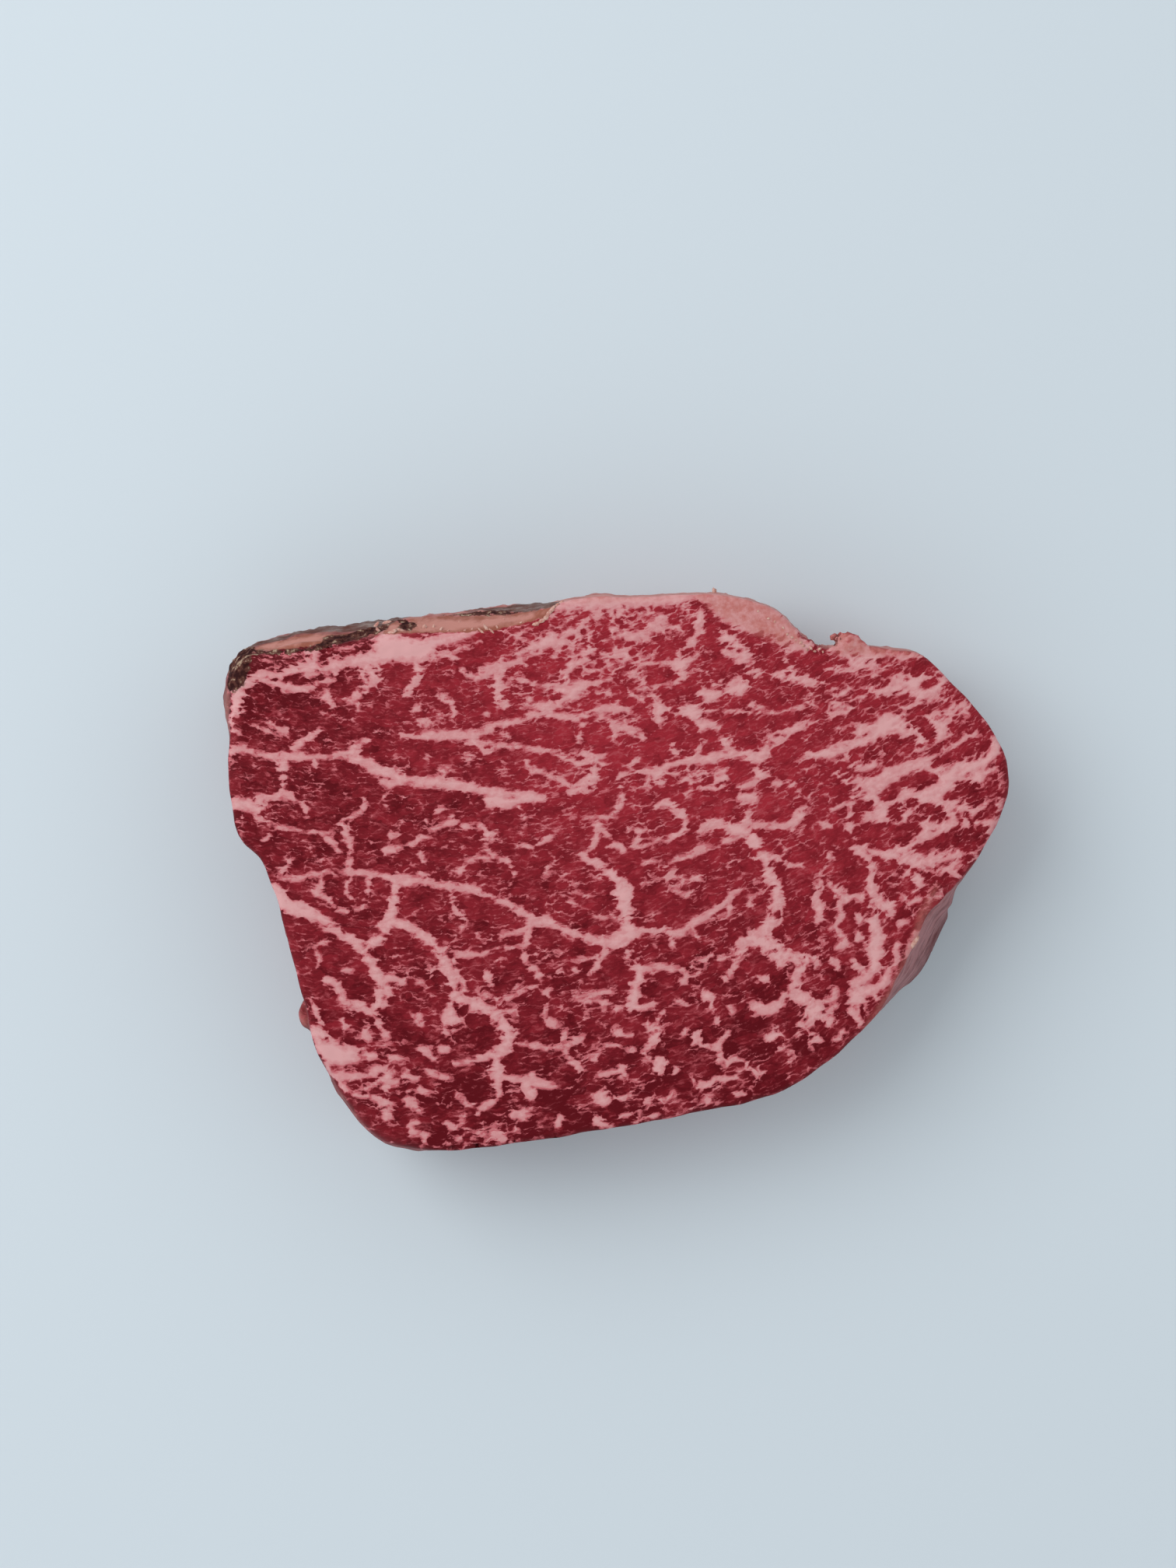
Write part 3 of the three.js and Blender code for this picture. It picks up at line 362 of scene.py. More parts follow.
# Finer seams: the south side
SOUTH_VEINS = (
    ((-58.6, -29.6, 1.4), (-57.2, -32.4, 3), (-55.2, -34.8, 5), (-51, -36, 3.4), (-46.5, -35.8, 2)),
    ((-56, -37.4, 2.6), (-53.4, -38.6, 3.2), (-50, -39, 2), (-46.6, -38.6, 1.4)),
    ((-53, -40.4, 1.4), (-50.6, -42.6, 1.2), (-47, -42.8, 1)),
    ((-59, -24.4, 0.8), (-58.2, -26.4, 1.2), (-57.4, -28.6, 1.6), (-57, -30.6, 2), (-55.4, -34, 4),
     (-53, -35, 4.2), (-50, -35.2, 2.6)),
    ((-49.6, -41.6, 1), (-47.6, -42, 1.2), (-45.6, -41, 2.4), (-44.4, -39.6, 2), (-43, -38.6, 1)),
    ((-46, -43, 3), (-44.6, -44.6, 2), (-43.8, -46.4, 1.6), (-44, -48, 1.4), (-42.6, -49, 0.8)),
    ((-53, -23, 1), (-52.4, -25, 1.2), (-50.4, -25.2, 1)),
    ((-52.4, -28.4, 1), (-51.6, -29.8, 1.4), (-50.4, -30.4, 0.8)),
    ((-49.8, -25.4, 2), (-48.4, -26.2, 1.8), (-47.4, -27, 1.6), (-46, -28.6, 1.4), (-45.4, -30, 1),
     (-44.4, -31.6, 1)),
    ((-48.8, -30.4, 0.9), (-48.2, -31.8, 1.2), (-48.2, -33, 1), (-48.8, -34, 0.9)),
    ((-44, -22.4, 1.4), (-43.6, -24, 1.6), (-45, -25.4, 1.6)),
    ((-39.6, -27.4, 1), (-38.4, -28.6, 1)),
    ((-40.4, -39, 0.8), (-39, -40, 0.8)),
    ((-40, -42.4, 1), (-40.2, -44.8, 1)),
    ((-43, -44.8, 0.9), (-41, -44.6, 0.9)),
    ((-40, -48.6, 1), (-38.4, -48.4, 1)),
    ((-30.6, -42.6, 0.8), (-29.4, -43.8, 1.2), (-28, -45, 1.4), (-26.6, -46.6, 1.2), (-26, -47.4, 0.8)),
    ((-31, -36.4, 1.2), (-29, -36.2, 1.4), (-26.4, -36, 1.8), (-24, -35.6, 2)),
    ((-31.4, -25, 1.4), (-31.8, -27, 1.6), (-31.8, -29, 2.2), (-32.6, -30.6, 1.2)),
    ((-37.6, -33.6, 1.6), (-36.4, -34.6, 1.4), (-35, -35.8, 0.9)),
    ((-38.2, -27.6, 1.4), (-37.4, -29, 1)),
    ((-33.4, -33.8, 1.4), (-32.6, -33.8, 1.2)),
    ((-36.2, -38.4, 1.4), (-34.8, -39.2, 1.2), (-33, -39.4, 0.7)),
    ((-8.4, -36.4, 1.2), (-7.2, -38, 1.2), (-6.8, -39.4, 0.9)),
    ((-10, -31, 1.2), (-10.2, -32.6, 1.2)),
    ((-20, -46.4, 1.6), (-18, -46.6, 1.8), (-16, -46.4, 1.2)),
    ((-11, -47.4, 1), (-11.4, -49, 1)),
    ((-4, -46.6, 1.4), (-3, -48, 1.6), (-1.6, -48.4, 1.4)),
    ((-32.6, -47.8, 1.2), (-31.4, -48.6, 1.2)),
    ((-39.4, -50, 1.6), (-37, -50.4, 1.6), (-36.8, -51.6, 1.2)),
    ((-30.8, -51.4, 1.4), (-30.2, -51.4, 1.2)),
    ((-23.4, -50.6, 1.4), (-22, -51.4, 1.2)),
    ((-7, -25, 0.9), (-4, -24.6, 1), (-1, -25.4, 0.9)),
    ((-6, -26.6, 0.9), (-3, -26, 0.9), (-1, -26.6, 0.8)),
    ((-7.4, -24, 0.8), (-4, -23, 0.9), (-1, -23.4, 0.8)),
    ((-39.6, -43.6, 1.2), (-38.4, -45.6, 1.2), (-37, -46, 1)),
    ((-37.6, -41.6, 0.8), (-36, -43, 0.8), (-34.4, -44, 0.7)),
    ((-4.8, -36, 1), (-4, -36, 1)),
    ((22, -25.6, 1.2), (22.6, -26.6, 0.8)),
    ((12.4, -24.8, 1.2), (13.6, -25, 1.2)),
    ((2.6, -25.4, 2), (5.4, -26.2, 2), (7.4, -25.6, 1)),
    ((-1, -26, 1.2), (1, -26, 1.4)),
    ((5, -29, 1), (7.2, -30, 2.2)),
    ((6.2, -33.6, 1.6), (5.4, -34.8, 1)),
    ((8, -28.6, 0.8), (9, -27, 0.8)),
    ((12.4, -30.6, 1.2), (14.2, -30, 1), (15.6, -31.2, 2), (14.8, -32.8, 1)),
    ((21.6, -30.6, 1), (20.6, -32.4, 1), (19.6, -34, 0.9)),
    ((8.4, -36.6, 2.4), (8, -38.4, 2), (8.6, -39.6, 1)),
    ((5, -36.2, 1.2), (6.4, -36, 1)),
    ((1, -37.6, 1.2), (2, -39.4, 1)),
    ((0.2, -30.2, 2), (1.4, -31.4, 1.2), (3, -31.2, 0.8)),
    ((-1.6, -33.4, 0.8), (1, -33.2, 0.8), (3, -34, 0.7)),
    ((11.2, -38, 1.2), (12, -38, 1.2)),
    ((15, -39, 0.8), (16.2, -40.4, 1.4), (18.2, -41, 2), (19.6, -40, 1), (23, -39.6, 0.8)),
    ((20, -35.8, 1.2), (20.4, -37.4, 0.8), (22.4, -36, 1), (24, -36, 0.8)),
    ((25.4, -37.2, 1.4), (26.6, -38, 1.6), (27, -39.6, 1)),
    ((25.4, -25.4, 1), (28, -26.2, 2), (30.6, -26.2, 2), (32.4, -24.6, 1)),
    ((30.6, -29.6, 1.4), (30.4, -32, 2.4), (31, -33.6, 1.6)),
    ((33.2, -35.2, 1.2), (33.4, -37, 1.2)),
    ((34.8, -23, 1), (36.4, -24.6, 2), (37.6, -26.6, 2.6), (37, -29, 2), (35.4, -29.2, 1)),
    ((0.4, -42.6, 1), (1.4, -43.2, 1)),
    ((9, -43.6, 1), (11, -42.8, 1.2)),
    ((5.6, -43.8, 1), (6.4, -43.8, 1)),
    ((15, -44, 1), (17.6, -43.8, 1.2), (19.6, -44, 1)),
    ((23, -42.6, 1), (24.4, -42.4, 1)),
    ((1.6, -46.6, 1.2), (2.4, -46.6, 1.2)),
    ((7.2, -46.8, 1), (8, -46.8, 0.9)),
    ((38.4, -26, 2.6), (39.4, -27.8, 2), (41.4, -28.6, 1.8)),
    ((40.4, -26.8, 0.8), (41.8, -25.8, 0.8), (42.4, -25.2, 0.6)),
    ((42, -22.6, 1.6), (41.6, -24, 1.6), (40.6, -24.2, 1)),
    ((45, -22.8, 1), (46, -24, 2.2), (47.4, -24.6, 2.2)),
    ((45.4, -26.4, 1.2), (46.4, -27.8, 1.2), (47, -29, 0.8)),
    ((47.6, -26, 0.8), (48.8, -27.2, 0.8)),
    ((49.6, -23.4, 1.2), (50.4, -24.2, 1.2)),
    ((44.6, -30.4, 0.8), (43.4, -30.8, 0.9), (42.8, -32.4, 0.8)),
    ((38.4, -32, 1.4), (39.6, -32.6, 1.2)),
)

# Finer seams: the east side under the nose
EAST_VEINS = (
    ((49.8, -4.6, 2.4), (51.5, -6, 3.2), (53.4, -8, 1.6)),
    ((49.4, -8, 1.8), (49.6, -10.5, 2), (50, -13, 3.2), (50, -16, 3), (49.6, -18.6, 2.4), (48.4, -20, 1.6),
     (46.4, -21.2, 1.6)),
    ((42.2, -3, 1.6), (43.4, -4.8, 2.8), (45.4, -5, 1.8), (47.6, -4.8, 1.2)),
    ((43, -6.4, 1.6), (43.4, -8.4, 1.2), (42.6, -10.2, 1), (41, -11, 1)),
    ((42.6, -10.6, 1), (43.4, -11.6, 0.8)),
    ((42, -14.6, 1), (43.6, -14, 1.6), (44.4, -13, 1.2), (43.4, -12.4, 0.8)),
    ((41.4, -16.8, 1), (42.4, -17.6, 1.4), (43.2, -18.4, 0.8)),
    ((46.3, -8.3, 1.4), (47, -9.4, 1.4)),
    ((46.6, -12.2, 1.4), (47, -12.4, 1.2)),
    ((46, -17, 1), (46.8, -18, 1.4), (48, -18.4, 1.2)),
    ((38, -16.5, 1.4), (38.6, -17.8, 1.4)),
    ((53, -19.4, 1.2), (51.6, -21.2, 1.8), (49.4, -22.6, 2), (47, -22.4, 2.2)),
    ((54.4, -13.8, 1), (54, -15.6, 1.4), (54, -17.6, 1)),
    ((53.4, -0.4, 1), (55.6, 0, 1.6), (57.6, -0.4, 2.4), (58.6, -1.9, 2), (57.4, -3.6, 1.4), (57.8, -5.4, 1)),
    ((52, 3.6, 2.4), (55, 3, 3), (58, 2.4, 2.6), (60, 2, 2), (62, 1.6, 1.2), (63.6, 1.8, 1)),
    ((61.4, 2.6, 1.2), (63, 1.4, 1), (64.6, 0.4, 1.2), (66, -1, 1)),
    ((55.4, -4.4, 0.9), (56.6, -5.6, 1), (57.6, -4.6, 0.9)),
    ((56.4, -9.8, 1), (55, -10, 1.2), (54.4, -11, 0.8)),
    ((57.8, -12.2, 1.4), (57.2, -14, 1.6), (56.4, -15.6, 1)),
    ((39, -2.5, 1.4), (38.8, -5, 1.6), (39.6, -7, 2), (39.6, -9.6, 1.4)),
    ((39, 9.6, 1.4), (40.6, 9.2, 1.6)),
    ((41.5, 12, 0.9), (43.6, 13.2, 0.9), (44.8, 13.6, 0.8)),
    ((40.8, 3.8, 1), (41.6, 2.8, 1)),
)
SEAMS = (CAP_SEAMS + WEST_SEAMS + NOSE_SEAMS + MIDDLE_SEAMS + SOUTH_SEAMS
         + NORTH_VEINS + WEST_VEINS + MIDDLE_VEINS + SOUTH_VEINS + EAST_VEINS)

# The nose is mostly fat, which this broad band marks out
NOSE_FAT = (
    ((46, 38, 11), (50, 32, 17), (55, 24, 22), (60, 16, 25), (62, 13, 24)),
)

# Islands and streaks of muscle inside broad fat
STREAKS = (
    ((-63, -23.6, 3), (-62.6, -27, 4.6), (-62, -30.4, 3)),
    ((7, 50.4, 0.8), (9, 51.1, 0.9), (12, 50.9, 0.9), (15.5, 51.7, 0.9), (17.5, 51, 1), (18.2, 49.5, 1.2),
     (19.8, 48.2, 1.4), (21.6, 47.4, 1)),
    ((0.6, 49, 1.6), (3, 50.2, 1.2), (5, 49, 1.4)),
    ((2.4, 47, 1.6), (4.8, 47.8, 2)),
    ((-12, 49.4, 2), (-9, 49.2, 3.2), (-6.6, 50.2, 1.6)),
    ((-14.6, 47.2, 0.9), (-12.4, 47.2, 0.9), (-10.6, 46.8, 1)),
    ((-57.4, 40.8, 0.8), (-55, 41.8, 1.6), (-52.6, 42.6, 1.4), (-50, 43.2, 1.6), (-47.6, 43.9, 1.2)),
    ((-34.4, 42.9, 0.5), (-31, 43.6, 0.9), (-27.4, 44.7, 1.1), (-24.4, 46, 1.4)),
    ((-54.5, -38, 0.8), (-51, -37.8, 0.9), (-47.5, -36.9, 1.2), (-44.6, -36.6, 1)),
    ((-50, -40.8, 1), (-48.4, -40.2, 1.6), (-47.2, -39.6, 0.9)),
    ((-48.6, -42.2, 0.8), (-46.6, -41.6, 0.9), (-45.4, -40.8, 0.7)),
    ((-30.2, -20.8, 0.6), (-29.9, -22.2, 0.6)),
    ((-32, -15.8, 0.7), (-31.8, -16.8, 0.6)),
    ((46.5, 38.3, 0.7), (48.5, 38.6, 0.7), (50.5, 39.6, 0.8), (52, 41, 0.8), (52.8, 41.6, 0.8),
     (53.8, 41, 0.7), (53.6, 40.4, 0.6)),
    ((47.5, 37.3, 1.2), (50, 37.3, 1.4), (52, 38.2, 1.4), (54.5, 39.2, 2), (57, 39.6, 2.2),
     (59.5, 39.6, 2.4), (61.5, 38.6, 1.2)),
    ((38.5, 37.6, 1.6), (42, 37.4, 1.9), (46, 37.4, 1.4)),
    ((38, 40.8, 1.4), (41, 40.5, 1.5), (44, 40, 1.2), (45.2, 39.2, 0.8)),
    ((46.2, 36, 1), (48.5, 36.4, 1.2), (51, 36.6, 1.2), (53, 37.2, 0.8)),
    ((59.3, 36, 1.2), (61, 37, 1.2), (62, 38.2, 0.9)),
    ((42.8, 36.2, 0.9), (44.8, 36.3, 0.9), (45.5, 35.8, 0.7)),
    ((45, 34.5, 1.2), (48, 35, 1.4), (49, 34.4, 1)),
    ((39, 33.2, 0.9), (42, 33.6, 0.9), (44, 33, 0.8)),
    ((38, 34.2, 0.9), (40, 34.8, 0.9), (42, 34.9, 0.8)),
    ((39.5, 31.2, 0.8), (44, 31.6, 0.8)),
    ((46, 32, 1.6), (50, 32.6, 2.4), (54, 33.2, 2.2), (57, 33.6, 1.2)),
    ((45, 30.6, 1), (50, 31.2, 1.2), (54, 31.4, 1.2), (56, 31.2, 0.8)),
    ((40, 28.5, 1.2), (44, 29.4, 1.2), (48, 29.4, 1.2), (50, 29.8, 0.8)),
    ((57.5, 30.4, 1.6), (61, 32, 2.6), (64, 33.8, 2.6), (65.5, 35, 1.6)),
    ((45.6, 22.6, 2.2), (48.5, 22.9, 2.8), (51.5, 23.7, 4), (54.5, 24.3, 4.4), (56.6, 25.2, 2.8)),
    ((43.3, 21.8, 1.6), (44, 20, 1.2), (46, 19.2, 0.9), (49, 19.5, 0.8), (53, 20.8, 0.9), (56, 22, 1),
     (59, 23, 1.2), (62, 24.4, 1.4), (64.5, 26, 1.8), (66, 27.4, 2.2)),
    ((38.5, 25.2, 1.6), (42, 26.8, 2.6), (45.5, 26.6, 1.2)),
    ((38, 27.2, 1.6), (41, 28.4, 1.6), (44.5, 28.9, 1)),
    ((57, 30, 1.6), (59.5, 28.6, 3), (60.5, 26.6, 2), (61.4, 25.6, 1)),
    ((65, 27.6, 2.6), (67.5, 28.6, 2.8), (70.5, 28.4, 2.2), (71.6, 26.8, 1.6), (70.4, 25.8, 1)),
    ((61.6, 21, 1.6), (63.4, 22, 2), (66, 23.2, 2.8), (69, 23.8, 2.2), (71.4, 24.8, 1)),
    ((56, 17.4, 2.4), (58.5, 17.6, 3.2), (61, 18.2, 2.6)),
    ((51.4, 14.4, 2), (53.4, 15.8, 2.8), (54.8, 16.8, 1.6)),
    ((63.6, 14.8, 1.2), (66.5, 15.4, 2.8), (70, 15, 3.6), (72.6, 16.6, 2.4), (73.2, 18.6, 1)),
    ((65.8, 17.4, 1.2), (68, 17.2, 1.4)),
    ((73.2, 20, 1), (74, 22.6, 1.2)),
    ((70.2, 10.6, 2.2), (72.4, 11.8, 2.6)),
    ((47.4, 12.6, 2.8), (49, 12.4, 2.4)),
    ((56.6, 13, 2.6), (59.5, 12, 2.8), (62.6, 11.2, 2.4), (64, 10.4, 1)),
    ((48, 7.6, 4), (51.5, 7.4, 3.4), (55.5, 7.6, 4), (57.4, 9.4, 3)),
    ((53.4, 12, 2.4), (54.6, 10.6, 2)),
    ((59, 5, 2), (62.5, 5.6, 3), (66, 6, 4), (69, 6.4, 3.6), (70.6, 8.4, 2.4)),
    ((65.8, 12.2, 0.8), (66.6, 10, 0.9), (66.2, 8.6, 1)),
    ((67.6, 11.8, 0.9), (68.6, 9.6, 1), (69, 8, 1)),
)

# The outer part of the fat cap, where it has dried and turned tan
CAP = (
    ((-10.5, 53, 3), (0, 53.6, 4), (8, 54.2, 4.4), (14, 54.8, 4), (18, 53.8, 5), (21, 52.2, 7),
     (25, 50.6, 8), (29, 48.4, 7), (32, 46.6, 6), (35.5, 44.2, 3)),
    ((39.6, 46.4, 4), (42, 45, 5.4), (46, 43.8, 5), (52, 43, 3.4), (58, 42.4, 2.4)),
    ((61.8, -2.6, 1.6), (59.6, -7, 2.6), (58, -12, 2.6), (56.2, -17, 2.6), (53, -23, 2.2), (48, -30, 1.4)),
)

# Dark crust on the dried corner and along the north edge. The thin stretch of the first band from about
# x -68 to -58 is not crust but a painted shadow line under the hump of the dried corner.
CRUST_AND_SHADOW_LINE = (
    ((-75.8, 36, 1.8), (-74.4, 38.2, 6.4), (-73.6, 40.6, 6.2), (-72.2, 42.4, 3.4), (-70.4, 43, 1.6),
     (-68, 42.6, 0.8), (-60, 42.9, 0.8), (-57.4, 43.7, 1.2), (-54.5, 45.2, 2.6), (-50.5, 46.5, 3.2),
     (-47.8, 47, 2.2)),
    ((-43, 48.8, 1.6), (-40.6, 48.4, 3.2), (-38.2, 48.6, 2)),
    ((-32.6, 50.1, 0.5), (-29, 50.5, 1.1), (-24, 50.6, 1.1), (-20, 50.4, 0.6)),
)

# Grey-brown dried rind on the outer edge. Its middle is on the outline, so that it covers the wall below too.
RIND = (
    ((-76.5, 40, 2), (-74.4, 43.4, 2.4), (-69, 45.6, 1.8), (-64, 46.9, 1.9), (-59, 47.7, 2.1),
     (-54, 48.4, 3.2), (-50, 49, 3.4), (-46, 49.5, 1.8), (-40, 50, 1.6), (-33, 50.9, 1.6), (-27, 51.6, 1.6),
     (-22, 52, 3), (-16, 52.4, 3.6), (-12, 52.8, 3)),
)

# Dried fat that is bared on and beside the crust
BARED_FAT = (
    ((-69.4, 43.3, 1), (-67, 44, 2.2), (-63, 44.6, 2.8), (-59.6, 45, 2.8), (-57.4, 45.2, 2.2),
     (-54.8, 45.9, 0.8)),
    ((-46.8, 48.2, 1.4), (-45.4, 47.6, 2.6), (-43.8, 47.4, 2.8), (-42.8, 46.6, 1.2), (-40.8, 46.7, 1)),
    ((-40, 46.6, 0.8), (-37.6, 47.4, 2.4), (-35.6, 47.8, 3), (-33, 48.1, 3.6), (-27, 48.2, 3.6),
     (-20, 48.9, 2.8), (-15, 49.9, 2), (-12.6, 50.6, 1)),
)

# What covers the wall round the rim: (x, y, silverskin, thin film), each from 0 to 1
RIM_COVER = (
    (-68, 2, 0, 0.1), (-73, 10, 0, 0.2), (-75, 29, 0, 0.3), (-9, 52, 0, 0.6), (10, 53.5, 0, 0.7),
    (30, 49, 0, 0.7), (37, 44, 0, 0.5), (45, 44, 0, 0.7), (60, 41.5, 0, 0.7), (70, 31, 0, 0.6),
    (76, 18, 0, 0.5), (72, 6, 0.1, 0.45), (66.6, -0.6, 0.5, 0.4), (64, -5, 1, 0), (55, -21.6, 1, 0),
    (51.6, -26.2, 0.6, 0.3), (45, -33, 0.25, 0.5), (40, -37, 0, 0.5), (25, -44, 0, 0.3),
    (-10, -51, 0, 0.15), (-35, -54, 0, 0.15), (-50, -46, 0, 0.25), (-57, -35, 0, 0.15), (-62, -18, 0, 0.1),
    (-68, 2, 0, 0.1),
)

# The fine marbling over the face: (x, y, share of fat, roundness of its flecks, redness of the muscle)
RICHNESS = (
    (-66, 45, 0.3, 0.5, -0.3), (-60, 32, 0.24, 0.5, 0.6), (-35, 33, 0.24, 0.5, 0.75),
    (-62, 12, 0.02, 0.4, 0.25), (-35, 8, 0.2, 0.4, 0.45), (-55, -10, 0.2, 0.6, 0.5),
    (-30, -8, 0.36, 0.5, 0.6), (-45, -30, 0.2, 0.7, 0.4), (-20, -20, 0.24, 0.6, 0.45),
    (-20, -45, 0.2, 0.6, 0.1), (0, 42, 0.74, 0.6, 0.95), (0, 22, 0.34, 0.3, 1), (5, 0, 0.22, 0, 0.6),
    (10, -20, 0.3, 0.6, 0.55), (15, -38, 0.02, 1, 0.2), (25, 35, 0.14, 0, 0.8), (25, 15, 0.26, 0.1, 0.95),
    (42, 32, 0.34, 0, 0.75), (45, 8, 0.42, 0.3, 0.85), (38, -12, 0.1, 0.8, 0.55), (32, -32, 0.12, 1, 0.25),
    (64, 28, 0.3, 0, 0.8), (66, 10, -0.06, 0.2, 0.4), (56, -8, 0.24, 0.6, 0.6),
)

# Crumbs, flakes and shreds of dried fat that lie on the meat: (x, y, length, width, turn in degrees)
CRUMBS = (
    (36.1, 43.7, 0.8, 0.5, 20), (36.8, 43, 0.6, 0.5, 70), (37.6, 43.3, 0.9, 0.5, -30),
    (38.3, 42.7, 0.6, 0.4, 0), (39.2, 43.1, 0.8, 0.5, 40), (39.9, 42.6, 0.5, 0.4, 90),
    (35.6, 44.3, 0.7, 0.5, 50), (27.4, 50.4, 0.5, 0.4, 0), (29.4, 49, 0.6, 0.4, 20),
    (30.6, 48.4, 0.5, 0.4, 80), (32.2, 47.2, 0.6, 0.4, -40), (33, 46, 0.5, 0.4, 30),
    (33.9, 45.4, 0.6, 0.5, 0), (34.6, 44.8, 0.6, 0.4, 70), (-33.9, 46.9, 1.2, 0.5, 60),
    (-32.5, 46.7, 0.6, 0.4, 30), (-29.2, 46.7, 0.6, 0.4, 10), (-27.8, 47, 0.5, 0.4, 50),
    (-25.9, 46.5, 1.6, 0.5, -45), (-24.9, 47, 2.2, 0.6, -50), (-24, 46.6, 1.4, 0.4, -45),
    (-22.9, 47.3, 0.8, 0.4, -60), (-18.4, 48.2, 0.6, 0.3, 40), (-30.4, 48.6, 0.5, 0.4, 0),
    (-21.8, 49, 0.5, 0.4, 30), (-15.3, 48, 1.6, 0.7, 25), (-14.3, 48.5, 1.7, 0.8, 35),
    (-13.5, 49.2, 1.6, 0.8, 50), (-12.9, 50, 1.6, 0.8, 58), (-12.3, 50.8, 1.6, 0.8, 55),
    (-11.5, 51.5, 1.6, 0.7, 45), (-10.7, 52.1, 1.4, 0.6, 35), (-46.9, 48, 1.8, 0.8, 62),
    (-46.1, 46.8, 1.8, 0.7, -55), (-44.8, 48.7, 2, 1, 8), (-43.3, 46.4, 2, 0.9, 25),
    (-41.6, 46.8, 1.9, 0.9, -18), (-37.2, 47.3, 1.6, 0.8, 70), (-35.4, 47.5, 1.2, 0.5, 80),
    (57.7, -13.3, 2.6, 1.2, 64), (19.3, 54.5, 1.8, 0.8, 92),
)

# How the fibres lie: they turn this much for each millimetre to the right, and are level at this x
GRAIN_TURN = 0.005
GRAIN_LEVEL_X = -50

# How far the seams lean in x and y for each millimetre down from the cut face, and sway about their lines
SEAM_LEAN = (0.16, -0.11)
SEAM_SWAY = 0.5
SWAY_GRAIN = (7, 7, 14)

# Heights in mm: the cut face, and where the wall gives way to it and to the underside
CUT_FACE_Z = 28
CUT_EDGE = (26.8, 27.6)
UNDER_EDGE = (1.2, 0.4)

# The fat of the nose thickens this much a millimetre inwards, up to a most. It is looked for this far off.
NOSE_RISE = 0.4
NOSE_MOST = 0.9
NOSE_FAR = 30.0

# A seam this wide has its edges combed in full by the fibres that end at it, and a narrow one by this share
COMBED_WIDTH = 2.2
COMBED_LEAST = 0.35

# Down the wall the covers wander this far along it, between these heights
COVER_WANDER = 12
WANDER_EDGE = (27, 18)
WANDER_GRAIN = (9, 9, 9)

# The crust loses this much depth for each millimetre below a height
CRUST_LOSS = 0.3
CRUST_FOOT = 21

# The rind loses about this much depth between two heights, more of it in some patches than in others
RIND_LOSS = 2.6
RIND_EDGE = (23, 5)
RIND_LEAST = 0.7
RIND_PATCH = (12, 12, 6)

# Noise that is read this far off, in mm, is unlike the noise in place
SWAY_OFF = 50
WANDER_OFF = 90
RIND_OFF = 40

# Grains of the relief, in mm: on the cut face and the wall along the fibre, across it and down, and elsewhere
# in x, y and z
FACE_GRAIN = (2.4, 1.3, 8)
WALL_GRAIN = (3.4, 3.4, 12)
SKIN_GRAIN = (6, 6, 1.6)
CRUST_GRAIN = (2.2, 2.2, 2.2)
TORN_GRAIN = (1.6, 1.6, 1.6)
RIND_GRAIN = (7, 1, 1)

# The relief's share of the wall's on the silverskin, and of the crust's on the torn cap and the rind
SKIN_SHARE = 0.5
TORN_SHARE = 1.4
RIND_SHARE = 0.6

# Where the relief rises: over depths in fat, crust and rind, down the wall, and up from the foot, in mm
FAT_RISES = (-0.3, 0.6)
CRUST_RISES = (-0.2, 1)
RIND_RISES = (-0.2, 0.6)
WALL_RISES = (4, 12)
FOOT_RISES = (0.4, 3)

# Spots of the outline, in mm: the end of the silverskin, the torn cap, and the notch that is rounded off
SKIN_END = (63.8, -5.4)
SKIN_END_SIZE = (3, 2.6)
TORN_CAP = (41, 45.5)
TORN_CAP_SIZE = (6, 3)
NOTCH = (64, -6.4)
NOTCH_RADIUS = 6
NOTCH_EDGE = (26.6, 25.4)

# Faces are merged from this height down, over this depth, until this share of them is left
THIN_TOP = 27
THIN_DEPTH = 22
THIN_SHARE = 0.57

# The parts of the muscle, in mm along the fibre, across it and down: bundles that lie along the cut, bundles
# that meet it square, the small bundles in them, and fibres, which are drawn coarser than real ones to show
LONG_BUNDLE = (4, 1.5, 14)
SQUARE_BUNDLE = (2.4, 2, 14)
SMALL_BUNDLE = (2.2, 1, 6)
FIBRE = (1.3, 0.4, 3)

# Patterns of the finish, in mm: waves of the fibres, swells of fat, clouds of tone in the muscle, grains of
# the fat, the dried cap and the crumbs, then patches, blotches, crags and streaks of the dried layers
WAVE = 2.6
SWELL = 7
CLOUD = 4
FAT_MOTTLE = 0.9
CAP_MOTTLE = 1.2
CRUMB_MOTTLE = 0.6
PATCH = 5
BLOTCH = 3.4
CRAG = 1.5
SKIN_FIBRE = (5, 5, 0.9)
RIND_STREAK = (4, 0.8, 0.8)

# Heights in mm over which the film and the silverskin set in below the rim, and the silverskin gets lighter
FILM_START = (27.8, 25)
SKIN_START = (27.6, 26.6)
SKIN_LIGHT = (8, 26)

# Crumbs: the seed of their lumps, how uneven they are, and in mm the height that they are dropped from and
# that of the rim, which holds those that would fall beside it
CRUMB_SEED = 11
CRUMB_LUMPS = 0.35
CRUMB_DROP_Z = 100
CRUMB_RIM_Z = 26

# The light from all round falls to this share overhead, over these heights of the way that it comes from
SKY_EDGE = (0.5, 0.97)
SKY_TOP = 0.2


def linear(code):
    """The linear colour of an sRGB hex value."""
    channels = [int(code[i:i + 2], 16) / 255 for i in (0, 2, 4)]
    return tuple(c / 12.92 if c <= 0.04045 else ((c + 0.055) / 1.055) ** 2.4 for c in channels)


def opaque(colour):
    """A colour with the fourth value that a node's socket asks for."""
    return (*colour, 1)


def length(name, description, size):
    """A length that a user may change, given in mm."""
    return bpy.props.FloatProperty(name=name, description=description, default=size * MM, unit="LENGTH")


def tint(name, description, code):
    """A colour that a user may change, given as an sRGB hex value."""
    return bpy.props.FloatVectorProperty(
        name=name, description=description, default=linear(code), subtype="COLOR", size=3)


